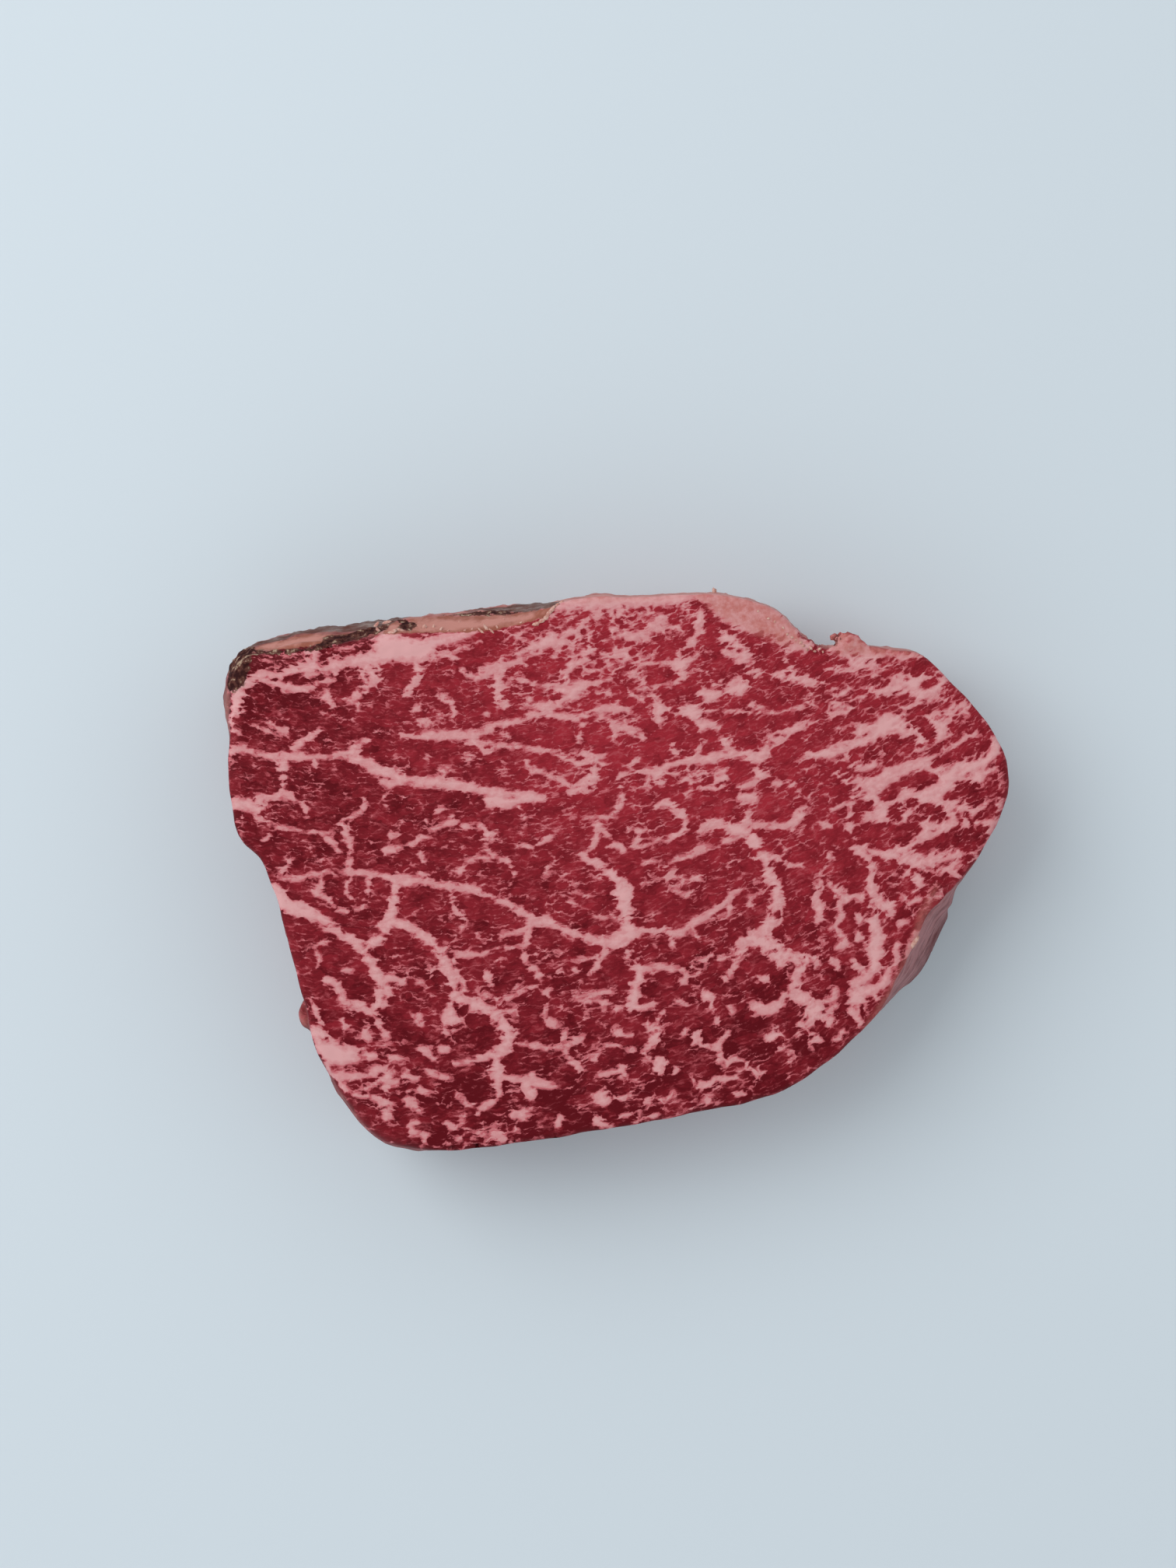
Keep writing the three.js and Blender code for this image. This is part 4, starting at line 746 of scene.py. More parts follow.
class SteakMeat(bpy.types.PropertyGroup):
    """Sizes and colours of the meat."""

    mesh_step: length("Mesh Step", "Size of a face of the mesh on the cut face", 0.5)
    fat_rise: length("Fat Rise", "How far firm fat stands over the muscle", 0.12)
    face_relief: length("Face Relief", "Height of the fibres on the cut face", 0.14)
    wall_relief: length("Wall Relief", "Height of the fibres on the trimmed sides", 0.5)
    crust_relief: length("Crust Relief", "Height of the crags of the dried crust", 0.6)
    skin_swell: length("Silverskin Swell", "How far the silverskin stands out at its upper end", 1.4)
    crumb_height: length("Crumb Height", "Height of a crumb one millimetre wide", 0.55)
    muscle_deep: tint("Deep Muscle", "Darkest muscle", "560a13")
    muscle: tint("Muscle", "Lighter muscle", "93242f")
    veil: tint("Veiled Muscle", "Muscle under a thin veil of fat", "a34a51")
    fat_thin: tint("Thin Fat", "Fine flecks and the edges of seams", "b0585f")
    fat: tint("Fat", "Seams and larger flecks", "c08082")
    fat_broad: tint("Broad Fat", "The middle of a broad seam", "ca9696")
    cap: tint("Dried Cap", "The outer part of the fat cap", "b06862")
    film: tint("Film", "The thin dried film on the sides", "b07a72")
    film_dark: tint("Dark Film", "Film over red muscle", "985850")
    silverskin: tint("Silverskin", "The tough pale skin at the right", "96686a")
    silverskin_dark: tint("Silverskin Hollows", "Between the fibres of the silverskin", "603537")
    bared_fat: tint("Bared Fat", "Dried fat beside the crust", "b0766b")
    bared_brown: tint("Browned Fat", "Dried fat that has turned brown", "8a4f40")
    # The crust colours below, the dark one most, also paint the thin shadow line under the hump of the dried
    # corner
    crust_and_shadow_dark: tint("Dark Crust", "Hollows of the dried crust", "2c0f0f")
    crust_brown: tint("Brown Crust", "The dried crust, and the hollows of the rind", "57322b")
    crust_crest: tint("Crust Crests", "Dry beads of the crust", "9c8470")
    rind: tint("Rind", "Dry streaks of the rind", "8c7e79")
    crumb: tint("Crumbs", "Crumbs and flakes of dried fat", "c49c8f")


class SteakStage(bpy.types.PropertyGroup):
    """Floor, light and camera."""

    floor: tint("Floor", "Colour of the floor", "c6cfd5")
    floor_size: length("Floor Size", "Side of the floor", 20000)
    sky: bpy.props.FloatVectorProperty(
        name="Surrounding Light", description="Colour of the light from all round",
        default=(0.93, 0.97, 1.0), subtype="COLOR", size=3)
    sky_strength: bpy.props.FloatProperty(
        name="Surrounding Strength", description="Strength of the light from all round", default=1.25)
    key_power: bpy.props.FloatProperty(
        name="Key Power", description="Power of the soft light at the upper left", default=7.5, unit="POWER")
    key_size: length("Key Size", "Side of the soft light", 900)
    key_place: bpy.props.FloatVectorProperty(
        name="Key Place", description="Where the soft light hangs", default=(-0.7, 0.42, 0.85),
        subtype="TRANSLATION", size=3)
    camera_place: bpy.props.FloatVectorProperty(
        name="Camera Place", description="Where the camera hangs", default=(-5.4 * MM, 17.1 * MM, 478 * MM),
        subtype="TRANSLATION", size=3)
    camera_lens: bpy.props.FloatProperty(
        name="Camera Lens", description="Focal length of the camera", default=53.6, unit="CAMERA")


def add_node(tree, kind, feeds=None, **settings):
    """Adds a node with its settings, feeds its sockets from other nodes or with plain values, and returns its
    outputs."""
    node = tree.nodes.new("ShaderNode" + kind)
    for name, value in settings.items():
        setattr(node, name, value)
    for name, value in (feeds or {}).items():
        if isinstance(value, bpy.types.NodeSocket):
            tree.links.new(value, node.inputs[name])
        else:
            node.inputs[name].default_value = value
    return node.outputs


def new_material(name):
    """An empty material and its node tree."""
    material = bpy.data.materials.new(name)
    material.use_nodes = True
    material.node_tree.nodes.clear()
    return material, material.node_tree


# Lines on the cut face

def smooth_line(points, steps=3):
    """Places along the smooth curve through some points, with their other values."""
    places = np.array(points, float)
    ends = np.vstack((2 * places[0] - places[1], places, 2 * places[-1] - places[-2]))
    out = []
    for before, a, b, after in zip(ends, ends[1:], ends[2:], ends[3:]):
        for t in np.arange(steps) / steps:
            bend = 2 * a + (b - before) * t + (2 * before - 5 * a + 4 * b - after) * t * t
            out.append((bend + (3 * a - before - 3 * b + after) * t ** 3) / 2)
    out.append(places[-1])
    return np.array(out)


def nearest(x, y, a, b):
    """How far places are from the stretch from a to b, and the share of it at which they come nearest."""
    dx, dy = b[:2] - a[:2]
    share = np.clip(((x - a[0]) * dx + (y - a[1]) * dy) / (dx * dx + dy * dy), 0, 1)
    return np.hypot(x - a[0] - share * dx, y - a[1] - share * dy), share


def band_depth(x, y, lines, far=9.0):
    """How deep each place lies inside the nearest of some bands, in mm and below 0 outside them, the way
    there from the band's middle, and the band's width there."""
    deepest = np.full(len(x), -far)
    away = np.zeros(len(x), complex)
    width = np.zeros(len(x))
    for points in lines:
        line = smooth_line(points)
        for a, b in zip(line, line[1:]):
            distance, share = nearest(x, y, a, b)
            across = a[2] + (b[2] - a[2]) * share
            depth = across / 2 - distance
            deeper = depth > deepest
            deepest[deeper] = depth[deeper]
            width[deeper] = across[deeper]
            middle = complex(*a[:2]) + complex(*(b[:2] - a[:2])) * share[deeper]
            away[deeper] = x[deeper] + 1j * y[deeper] - middle
    return deepest, away, width


def round_rim(x, y):
    """The cover of the wall at the nearest place of the rim."""
    rim = np.array(RIM_COVER, float)
    best = np.full(len(x), np.inf)
    cover = np.zeros((len(x), 2))
    for a, b in zip(rim, rim[1:]):
        distance, share = nearest(x, y, a, b)
        nearer = distance < best
        best[nearer] = distance[nearer]
        cover[nearer] = a[2:] + (b[2:] - a[2:]) * share[nearer, None]
    return cover


def richness_at(x, y, spread=11.0):
    """The values of the fine marbling, blended between the given places over a spread in mm."""
    total = np.full(len(x), 1e-9)
    blend = np.zeros((len(x), 3))
    for px, py, *values in RICHNESS:
        weight = np.exp(-((x - px) ** 2 + (y - py) ** 2) / (2 * spread * spread))
        total += weight
        blend += weight[:, None] * np.array(values)
    return blend / total[:, None]


def ease(low, high, value):
    """0 below low, 1 above high and a smooth rise between them."""
    t = np.clip((value - low) / (high - low), 0, 1)
    return t * t * (3 - 2 * t)


def rough(places, size, octaves=3):
    """Noise from about -1 to 1 at places in mm, with grains of that size along each axis."""
    scaled = places / np.array(size)
    return np.array([noise.fractal(Vector(p), 1.0, 2.0, octaves) for p in scaled])


def round_spot(places, spot, size):
    """1 at a spot of the outline, falling to 0 around it over a size in x and y."""
    return np.exp(-((places[:, 0] - spot[0]) / size[0]) ** 2 - ((places[:, 1] - spot[1]) / size[1]) ** 2)


# The meat

def only(piece):
    """Selects one object alone."""
    bpy.ops.object.select_all(action="DESELECT")
    piece.select_set(True)
    bpy.context.view_layer.objects.active = piece


def apply_modifier(piece, kind, **settings):
    """Adds a modifier with its settings and applies it."""
    modifier = piece.modifiers.new(kind.title(), kind)
    for name, value in settings.items():
        setattr(modifier, name, value)
    bpy.ops.object.modifier_apply(modifier=modifier.name)


def paint(piece, weights):
    """A vertex group with these weights, for a modifier that is applied next."""
    group = piece.vertex_groups.new(name="painted")
    for index in np.nonzero(weights)[0]:
        group.add((int(index),), weights[index], "REPLACE")
    return group.name


def copy_of_node(name, node):
    """A copy of a plain solid, with its loose triangles merged."""
    piece = bpy.data.objects.new(name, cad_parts[node].data.copy())
    piece.data.materials.clear()
    bpy.context.collection.objects.link(piece)
    only(piece)
    bpy.ops.object.mode_set(mode="EDIT")
    bpy.ops.mesh.select_all(action="SELECT")
    bpy.ops.mesh.remove_doubles(threshold=0.001 * MM)
    bpy.ops.object.mode_set(mode="OBJECT")
    return piece


def store(mesh, name, values):
    """Keeps one number or one vector for each vertex."""
    kind, field = ("FLOAT", "value") if values.ndim == 1 else ("FLOAT_VECTOR", "vector")
    mesh.attributes.new(name, kind, "POINT").data.foreach_set(field, values.astype(np.float32).ravel())


def vertices_of(mesh):
    """Places in mm of a mesh's vertices."""
    places = np.empty(len(mesh.vertices) * 3, np.float32)
    mesh.vertices.foreach_get("co", places)
    return places.reshape(-1, 3).astype(float) / MM


def grain_of(places):
    """Places in mm along the fibre, across it and down from the cut face."""
    spot = places[:, 0] - GRAIN_LEVEL_X + 1j * places[:, 1]
    turned = 1j / GRAIN_TURN * (np.exp(-1j * GRAIN_TURN * spot) - 1)
    return np.column_stack((turned.real, turned.imag, CUT_FACE_Z - places[:, 2]))


def lay_seams(x, y):
    """How deep places lie in fat, in mm and below 0 in muscle, the way there from the middle of the nearest
    seam or streak, and its width there."""
    fat, away, width = band_depth(x, y, SEAMS)
    nose = NOSE_RISE * band_depth(x, y, NOSE_FAT, NOSE_FAR)[0]
    streaks, streak_away, streak_width = band_depth(x, y, STREAKS)
    fat = np.maximum(fat, np.minimum(nose, NOSE_MOST))
    streaked = -streaks < fat
    fat[streaked] = -streaks[streaked]
    away[streaked] = streak_away[streaked]
    width[streaked] = streak_width[streaked]
    return fat, away, width


def map_meat(mesh):
    """Stores where the fat, the fibres and the covers of the wall lie, and returns what the relief needs."""
    places = vertices_of(mesh)
    height = places[:, 2]
    depth = CUT_FACE_Z - height
    x = places[:, 0] - SEAM_LEAN[0] * depth + SEAM_SWAY * rough(places, SWAY_GRAIN, 2)
    y = places[:, 1] - SEAM_LEAN[1] * depth + SEAM_SWAY * rough(places + SWAY_OFF, SWAY_GRAIN, 2)
    fat, away, width = lay_seams(x, y)
    along_fibre = np.exp(1j * GRAIN_TURN * (places[:, 0] - GRAIN_LEVEL_X))
    square_on = np.abs((away / along_fibre).real) / np.maximum(np.abs(away), 0.1)
    comb = square_on * np.clip(width / COMBED_WIDTH, COMBED_LEAST, 1)
    face = np.maximum(ease(*CUT_EDGE, height), ease(*UNDER_EDGE, height))
    wander = COVER_WANDER * ease(*WANDER_EDGE, height) * rough(places + WANDER_OFF, WANDER_GRAIN)
    along = places[:, 0] + wander
    across = places[:, 1]
    # The first column, the crust, also holds the painted shadow line under the hump of the dried corner
    dried = np.column_stack([band_depth(along, across, bands)[0] for bands in (CRUST_AND_SHADOW_LINE, RIND, BARED_FAT)])
    dried[:, 0] -= CRUST_LOSS * np.maximum(CRUST_FOOT - height, 0)
    patchy = RIND_LEAST + rough(places + RIND_OFF, RIND_PATCH)
    dried[:, 1] -= RIND_LOSS * ease(*RIND_EDGE, height) * patchy
    cover = np.column_stack((round_rim(along, across), band_depth(along, across, CAP)[0]))
    store(mesh, "fat", fat)
    store(mesh, "comb", comb)
    store(mesh, "richness", richness_at(x, y))
    store(mesh, "grain", grain_of(places))
    store(mesh, "cover", cover)
    store(mesh, "dried", dried)
    return places, fat, face, cover, dried


def thin_underside(piece):
    """Merges faces towards the underside, so that most of them are on the cut face."""
    places = vertices_of(piece.data)
    weights = np.clip((THIN_TOP - places[:, 2]) / THIN_DEPTH, 0, 1)
    apply_modifier(piece, "DECIMATE", ratio=THIN_SHARE, vertex_group=paint(piece, weights))
    piece.vertex_groups.clear()


def soften_notch(piece):
    """Rounds off the wall at the notch by the silverskin."""
    places = vertices_of(piece.data)
    distance = np.hypot(places[:, 0] - NOTCH[0], places[:, 1] - NOTCH[1])
    weights = ease(NOTCH_RADIUS, 0.4 * NOTCH_RADIUS, distance) * ease(*NOTCH_EDGE, places[:, 2])
    apply_modifier(piece, "SMOOTH", factor=0.5, iterations=60, vertex_group=paint(piece, weights))
    piece.vertex_groups.clear()


def raise_relief(piece, meat):
    """Raises the fat, the fibres and the crust out of the surface. One Displace moves the whole surface to
    its lowest height, and a second lifts each vertex from there by its painted weight."""
    places, fat, face, cover, dried = map_meat(piece.data)
    grain = grain_of(places)
    side = 1 - face
    skinned = cover[:, 0]
    wall = meat.wall_relief * side
    crust = meat.crust_relief
    height = meat.fat_rise * ease(*FAT_RISES, fat) * face
    height += meat.face_relief * face * rough(grain, FACE_GRAIN)
    height += wall * (1 - skinned) * ease(*WALL_RISES, grain[:, 2]) * rough(grain, WALL_GRAIN)
    height += SKIN_SHARE * wall * skinned * rough(places, SKIN_GRAIN)
    height += meat.skin_swell * side * round_spot(places, SKIN_END, SKIN_END_SIZE)
    height += crust * ease(*CRUST_RISES, dried[:, 0]) * rough(places, CRUST_GRAIN, 4)
    height += TORN_SHARE * crust * round_spot(places, TORN_CAP, TORN_CAP_SIZE) * rough(places, TORN_GRAIN)
    height += RIND_SHARE * crust * ease(*RIND_RISES, dried[:, 1]) * rough(places, RIND_GRAIN)
    height *= ease(*FOOT_RISES, places[:, 2])
    low, high = height.min(), height.max()
    apply_modifier(piece, "DISPLACE", strength=low, mid_level=0)
    lift = paint(piece, (height - low) / (high - low))
    apply_modifier(piece, "DISPLACE", strength=high - low, mid_level=0, vertex_group=lift)
    piece.vertex_groups.clear()


# The beef's finish, from the muscle up to the crust. Each layer is laid over the ones before it.

def cells(sizes, unit=1):
    """The scale at which one cell of a pattern has these sizes."""
    return tuple(1 / (size * unit) for size in sizes)


def lay_over(tree, below, finish, value, low, high, most=1):
    """Lays a finish over a colour where a value rises from low to high: the new colour, and its share."""
    share = add_node(tree, "MapRange",
                     {0: value, 1: low, 2: high, 3: 0, 4: most}, interpolation_type="SMOOTHSTEP")[0]
    mixed = add_node(tree, "Mix", {0: share, 6: below, 7: finish}, data_type="RGBA")
    return mixed[2], share


def read_maps(tree):
    """What the mesh holds at each spot, by name."""
    stored = {name: add_node(tree, "Attribute", attribute_name=name)
              for name in ("grain", "fat", "comb", "richness", "cover", "dried")}
    split = {name: add_node(tree, "SeparateXYZ", {0: stored[name]["Vector"]})
             for name in ("richness", "cover", "dried")}
    place = add_node(tree, "TexCoord")["Object"]
    level = add_node(tree, "SeparateXYZ", {0: place})[2]
    share, roundness, redness = split["richness"]
    skin, film, cap = split["cover"]
    # The crust's depth also covers the painted shadow line under the hump of the dried corner
    crust, rind, bared = split["dried"]
    return SimpleNamespace(
        grain=stored["grain"]["Vector"], seam=stored["fat"]["Fac"], comb=stored["comb"]["Fac"],
        share=share, roundness=roundness, redness=redness, silverskin=skin, film=film, cap=cap,
        crust=crust, rind=rind, bared=bared, place=place, level=level)


def bundles(tree, wavy, size):
    """Bundles of fibre: how far each spot lies from its bundle's middle and edge, and the bundle's tint."""
    cell = add_node(tree, "VectorMath", {0: wavy, 1: cells(size)}, operation="MULTIPLY")[0]
    middle = add_node(tree, "TexVoronoi", {"Vector": cell, "Scale": 1})
    edge = add_node(tree, "TexVoronoi", {"Vector": cell, "Scale": 1}, feature="DISTANCE_TO_EDGE")
    return middle[0], edge[0], middle[1]


def weave(tree, at):
    """How the muscle is built: fibres that wave by up to about 1 mm, in small bundles, in larger bundles. A
    web is high between bundles, where fat gathers, and low in their middles."""
    wander = add_node(tree, "TexNoise",
                      {"Vector": at.grain, "Scale": 1 / WAVE, "Detail": 4, "Roughness": 0.62})[1]
    wavy = add_node(tree, "VectorMath", {0: wander, 1: (3, 2, 0), 2: at.grain}, operation="MULTIPLY_ADD")[0]
    long_middle, long_edge, tint_of_bundle = bundles(tree, wavy, LONG_BUNDLE)
    square_middle, square_edge, _ = bundles(tree, wavy, SQUARE_BUNDLE)
    small_middle, small_edge, _ = bundles(tree, wavy, SMALL_BUNDLE)
    middle = add_node(tree, "Mix", {0: at.roundness, 2: long_middle, 3: square_middle})[0]
    edge = add_node(tree, "Mix", {0: at.roundness, 2: long_edge, 3: square_edge})[0]
    rise = add_node(tree, "Math", {0: middle, 1: 1.4, 2: -0.54}, operation="MULTIPLY_ADD")[0]
    web = add_node(tree, "Math", {0: edge, 1: -2.5, 2: rise}, operation="MULTIPLY_ADD")[0]
    small_rise = add_node(tree, "Math", {0: small_middle, 1: 0.5, 2: -0.12}, operation="MULTIPLY_ADD")[0]
    small_web = add_node(tree, "Math", {0: small_edge, 1: -0.8, 2: small_rise}, operation="MULTIPLY_ADD")[0]
    fibre_cell = add_node(tree, "VectorMath", {0: wavy, 1: cells(FIBRE)}, operation="MULTIPLY")[0]
    fibre_height = add_node(tree, "TexNoise",
                            {"Vector": fibre_cell, "Scale": 1, "Detail": 3, "Roughness": 0.6})[0]
    fibres = add_node(tree, "Math", {0: fibre_height, 1: 1.4, 2: -0.7}, operation="MULTIPLY_ADD")[0]
    clouds = add_node(tree, "TexNoise",
                      {"Vector": wavy, "Scale": 1 / CLOUD, "Detail": 4, "Roughness": 0.6})[0]
    return SimpleNamespace(wavy=wavy, web=web, small_web=small_web, fibres=fibres, fibre_height=fibre_height,
                           tint=tint_of_bundle, clouds=clouds)


def fat_depth(tree, at, muscle):
    """How deep each spot lies in fat, in mm: in seams, whose edges the bundles push into and most where the
    fibres end at them, between bundles in swells about 7 mm across, and in flecks between small bundles."""
    lobes = add_node(tree, "Math", {0: muscle.web, 1: muscle.small_web}, operation="ADD")[0]
    frayed = add_node(tree, "Math", {0: lobes, 1: muscle.fibres}, operation="ADD")[0]
    push = add_node(tree, "Math", {0: at.comb, 1: 0.8, 2: 0.6}, operation="MULTIPLY_ADD")[0]
    seams = add_node(tree, "Math", {0: frayed, 1: push, 2: at.seam}, operation="MULTIPLY_ADD")[0]
    swell = add_node(tree, "TexNoise",
                     {"Vector": muscle.wavy, "Scale": 1 / SWELL, "Detail": 3, "Roughness": 0.6})[0]
    swell_level = add_node(tree, "Math", {0: swell, 1: 2.4, 2: -2.3}, operation="MULTIPLY_ADD")[0]
    between_level = add_node(tree, "Math",
                             {0: at.share, 1: 1.6, 2: swell_level}, operation="MULTIPLY_ADD")[0]
    between = add_node(tree, "Math", {0: between_level, 1: frayed}, operation="ADD")[0]
    coarse = add_node(tree, "Math", {0: seams, 1: between, 2: 0.2}, operation="SMOOTH_MAX")[0]
    fleck_level = add_node(tree, "Math", {0: swell, 1: 2.2, 2: -1.76}, operation="MULTIPLY_ADD")[0]
    fleck_rise = add_node(tree, "Math",
                          {0: muscle.fibres, 1: 1.5, 2: fleck_level}, operation="MULTIPLY_ADD")[0]
    flecks = add_node(tree, "Math",
                      {0: muscle.small_web, 1: 1.7, 2: fleck_rise}, operation="MULTIPLY_ADD")[0]
    return add_node(tree, "Math", {0: coarse, 1: flecks}, operation="MAXIMUM")[0]


def lean_muscle(tree, meat, at, muscle):
    """Lean muscle: dark red, in clouds of tone about 4 mm across, each bundle and fibre a little apart."""
    cloud_tone = add_node(tree, "Math", {0: muscle.clouds, 1: 1.4, 2: -0.97}, operation="MULTIPLY_ADD")[0]
    own_tone = add_node(tree, "SeparateColor", {0: muscle.tint})[0]
    bundle_tone = add_node(tree, "Math", {0: own_tone, 1: 0.3, 2: cloud_tone}, operation="MULTIPLY_ADD")[0]
    fibre_tone = add_node(tree, "Math",
                          {0: muscle.fibres, 1: 0.6, 2: bundle_tone}, operation="MULTIPLY_ADD")[0]
    tone = add_node(tree, "Math", {0: fibre_tone, 1: at.redness}, operation="ADD", use_clamp=True)[0]
    return add_node(tree, "Mix",
                    {0: tone, 6: opaque(meat.muscle_deep), 7: opaque(meat.muscle)}, data_type="RGBA")[2]


def marbling(tree, meat, at, muscle, lean):
    """Firm fat through the muscle: a thin veil round the small bundles, thickest by the seams, then pink fat
    that is paler the deeper it is, and mottled in grains about 0.9 mm across where it is broad."""
    fat = fat_depth(tree, at, muscle)
    nearness = add_node(tree, "MapRange", {0: fat, 1: -1.2, 2: 0, 3: 0, 4: 0.12})[0]
    veil_level = add_node(tree, "Math",
                          {0: muscle.clouds, 1: 0.9, 2: nearness}, operation="MULTIPLY_ADD")[0]
    veil_web = add_node(tree, "Math",
                        {0: muscle.small_web, 1: 0.6, 2: veil_level}, operation="MULTIPLY_ADD")[0]
    veil = add_node(tree, "Math", {0: muscle.fibres, 1: veil_web}, operation="ADD")[0]
    veiled, _ = lay_over(tree, lean, opaque(meat.veil), veil, 0.54, 0.9, 0.48)
    thin, _ = lay_over(tree, veiled, opaque(meat.fat_thin), fat, -0.26, 0.06)
    plain, _ = lay_over(tree, thin, opaque(meat.fat), fat, 0, 0.42)
    mottle = add_node(tree, "TexNoise",
                      {"Vector": at.place, "Scale": 1 / (FAT_MOTTLE * MM), "Detail": 3})[0]
    mottled = add_node(tree, "Math", {0: mottle, 1: 1.6, 2: fat}, operation="MULTIPLY_ADD")[0]
    return lay_over(tree, plain, opaque(meat.fat_broad), mottled, 1, 2.4)[0]


def dried_cap(tree, meat, at, below):
    """The outer fat of the cap, dried in the air: tan and waxy, mottled in grains about 1.2 mm across."""
    mottle = add_node(tree, "TexNoise",
                      {"Vector": at.place, "Scale": 1 / (CAP_MOTTLE * MM), "Detail": 4, "Roughness": 0.6})[0]
    depth = add_node(tree, "MapRange", {0: at.cap, 1: -0.4, 2: 2}, interpolation_type="SMOOTHSTEP")[0]
    tone = add_node(tree, "MapRange",
                    {0: mottle, 1: 0.3, 2: 0.7, 3: 0.35, 4: 1}, interpolation_type="SMOOTHSTEP")[0]
    share = add_node(tree, "Math", {0: depth, 1: tone}, operation="MULTIPLY")[0]
    return add_node(tree, "Mix", {0: share, 6: below, 7: opaque(meat.cap)}, data_type="RGBA")[2]


def thin_film(tree, meat, at, below, patches, blotches):
    """A film of fat and skin left on the trimmed sides: tan, thin and patchy, so that red shows through."""
    start = add_node(tree, "MapRange",
                     {0: at.level, 1: FILM_START[0] * MM, 2: FILM_START[1] * MM},
                     interpolation_type="SMOOTHSTEP")[0]
    cover = add_node(tree, "Math", {0: at.film, 1: start}, operation="MULTIPLY")[0]
    ragged = add_node(tree, "Math", {0: cover, 1: patches}, operation="ADD")[0]
    share = add_node(tree, "MapRange",
                     {0: ragged, 1: 0.5, 2: 1.15, 3: 0, 4: 0.85}, interpolation_type="SMOOTHSTEP")[0]
    reach = add_node(tree, "Math", {0: share, 1: start}, operation="MULTIPLY")[0]
    film, _ = lay_over(tree, opaque(meat.film_dark), opaque(meat.film), blotches, 0.36, 0.64)
    return add_node(tree, "Mix", {0: reach, 6: below, 7: film}, data_type="RGBA")[2]


def silverskin(tree, meat, at, below, patches):
    """Silverskin, the tough sheath of a muscle: mauve grey fibres along the edge, 5 mm long and 0.9 mm thick,
    darker towards the foot."""
    cell = add_node(tree, "VectorMath", {0: at.place, 1: cells(SKIN_FIBRE, MM)}, operation="MULTIPLY")[0]
    fibres = add_node(tree, "TexNoise", {"Vector": cell, "Scale": 1, "Detail": 4, "Roughness": 0.65})[0]
    light = add_node(tree, "MapRange",
                     {0: at.level, 1: SKIN_LIGHT[0] * MM, 2: SKIN_LIGHT[1] * MM, 3: -0.22, 4: 0.1})[0]
    height = add_node(tree, "Math", {0: fibres, 1: light}, operation="ADD")[0]
    skin, _ = lay_over(tree, opaque(meat.silverskin_dark), opaque(meat.silverskin), height, 0.3, 0.66)
    start = add_node(tree, "MapRange",
                     {0: at.level, 1: SKIN_START[0] * MM, 2: SKIN_START[1] * MM},
                     interpolation_type="SMOOTHSTEP")[0]
    reach = add_node(tree, "Math", {0: at.silverskin, 1: start}, operation="MULTIPLY")[0]
    ragged = add_node(tree, "Math", {0: reach, 1: patches}, operation="ADD")[0]
    return lay_over(tree, below, skin, ragged, 0.72, 1.36)[0]


def bared_fat(tree, meat, at, below, blotches, crags):
    """Fat that dried in the air beside the crust: tan inside and brown at its craggy edge."""
    inside = add_node(tree, "Math", {0: at.bared, 1: 0.2, 2: blotches}, operation="MULTIPLY_ADD")[0]
    dry, _ = lay_over(tree, opaque(meat.bared_brown), opaque(meat.bared_fat), inside, 0.46, 0.8)
    ragged = add_node(tree, "Math", {0: crags, 1: 1.6, 2: at.bared}, operation="MULTIPLY_ADD")[0]
    return lay_over(tree, below, dry, ragged, 0.7, 1)[0]


def dried_rind(tree, meat, at, below, blotches, crags):
    """Rind, dried hard on the outer edge: dark brown to grey, in streaks 4 mm long and 0.8 mm thick."""
    cell = add_node(tree, "VectorMath", {0: at.place, 1: cells(RIND_STREAK, MM)}, operation="MULTIPLY")[0]
    streaks = add_node(tree, "TexNoise", {"Vector": cell, "Scale": 1, "Detail": 4, "Roughness": 0.6})[0]
    tone = add_node(tree, "Mix", {0: 0.5, 2: streaks, 3: blotches})[0]
    rind, _ = lay_over(tree, opaque(meat.crust_brown), opaque(meat.rind), tone, 0.4, 0.76)
    ragged = add_node(tree, "Math", {0: crags, 1: 0.8, 2: at.rind}, operation="MULTIPLY_ADD")[0]
    return lay_over(tree, below, rind, ragged, 0.3, 0.6)[0]


def dark_crust_and_shadow_line(tree, meat, at, below, crags):
    """Crust, dried through: nearly black in the hollows and tan on the crests. Its bands also paint a thin
    shadow line under the hump of the dried corner, in the same colours. Returns its share as well, by which
    the surface is dull."""
    brown, _ = lay_over(tree, opaque(meat.crust_and_shadow_dark), opaque(meat.crust_brown), crags, 0.42, 0.6)
    bark, _ = lay_over(tree, brown, opaque(meat.crust_crest), crags, 0.57, 0.68)
    ragged = add_node(tree, "Math", {0: crags, 1: 2.6, 2: at.crust}, operation="MULTIPLY_ADD")[0]
    return lay_over(tree, below, bark, ragged, 1.15, 1.5)


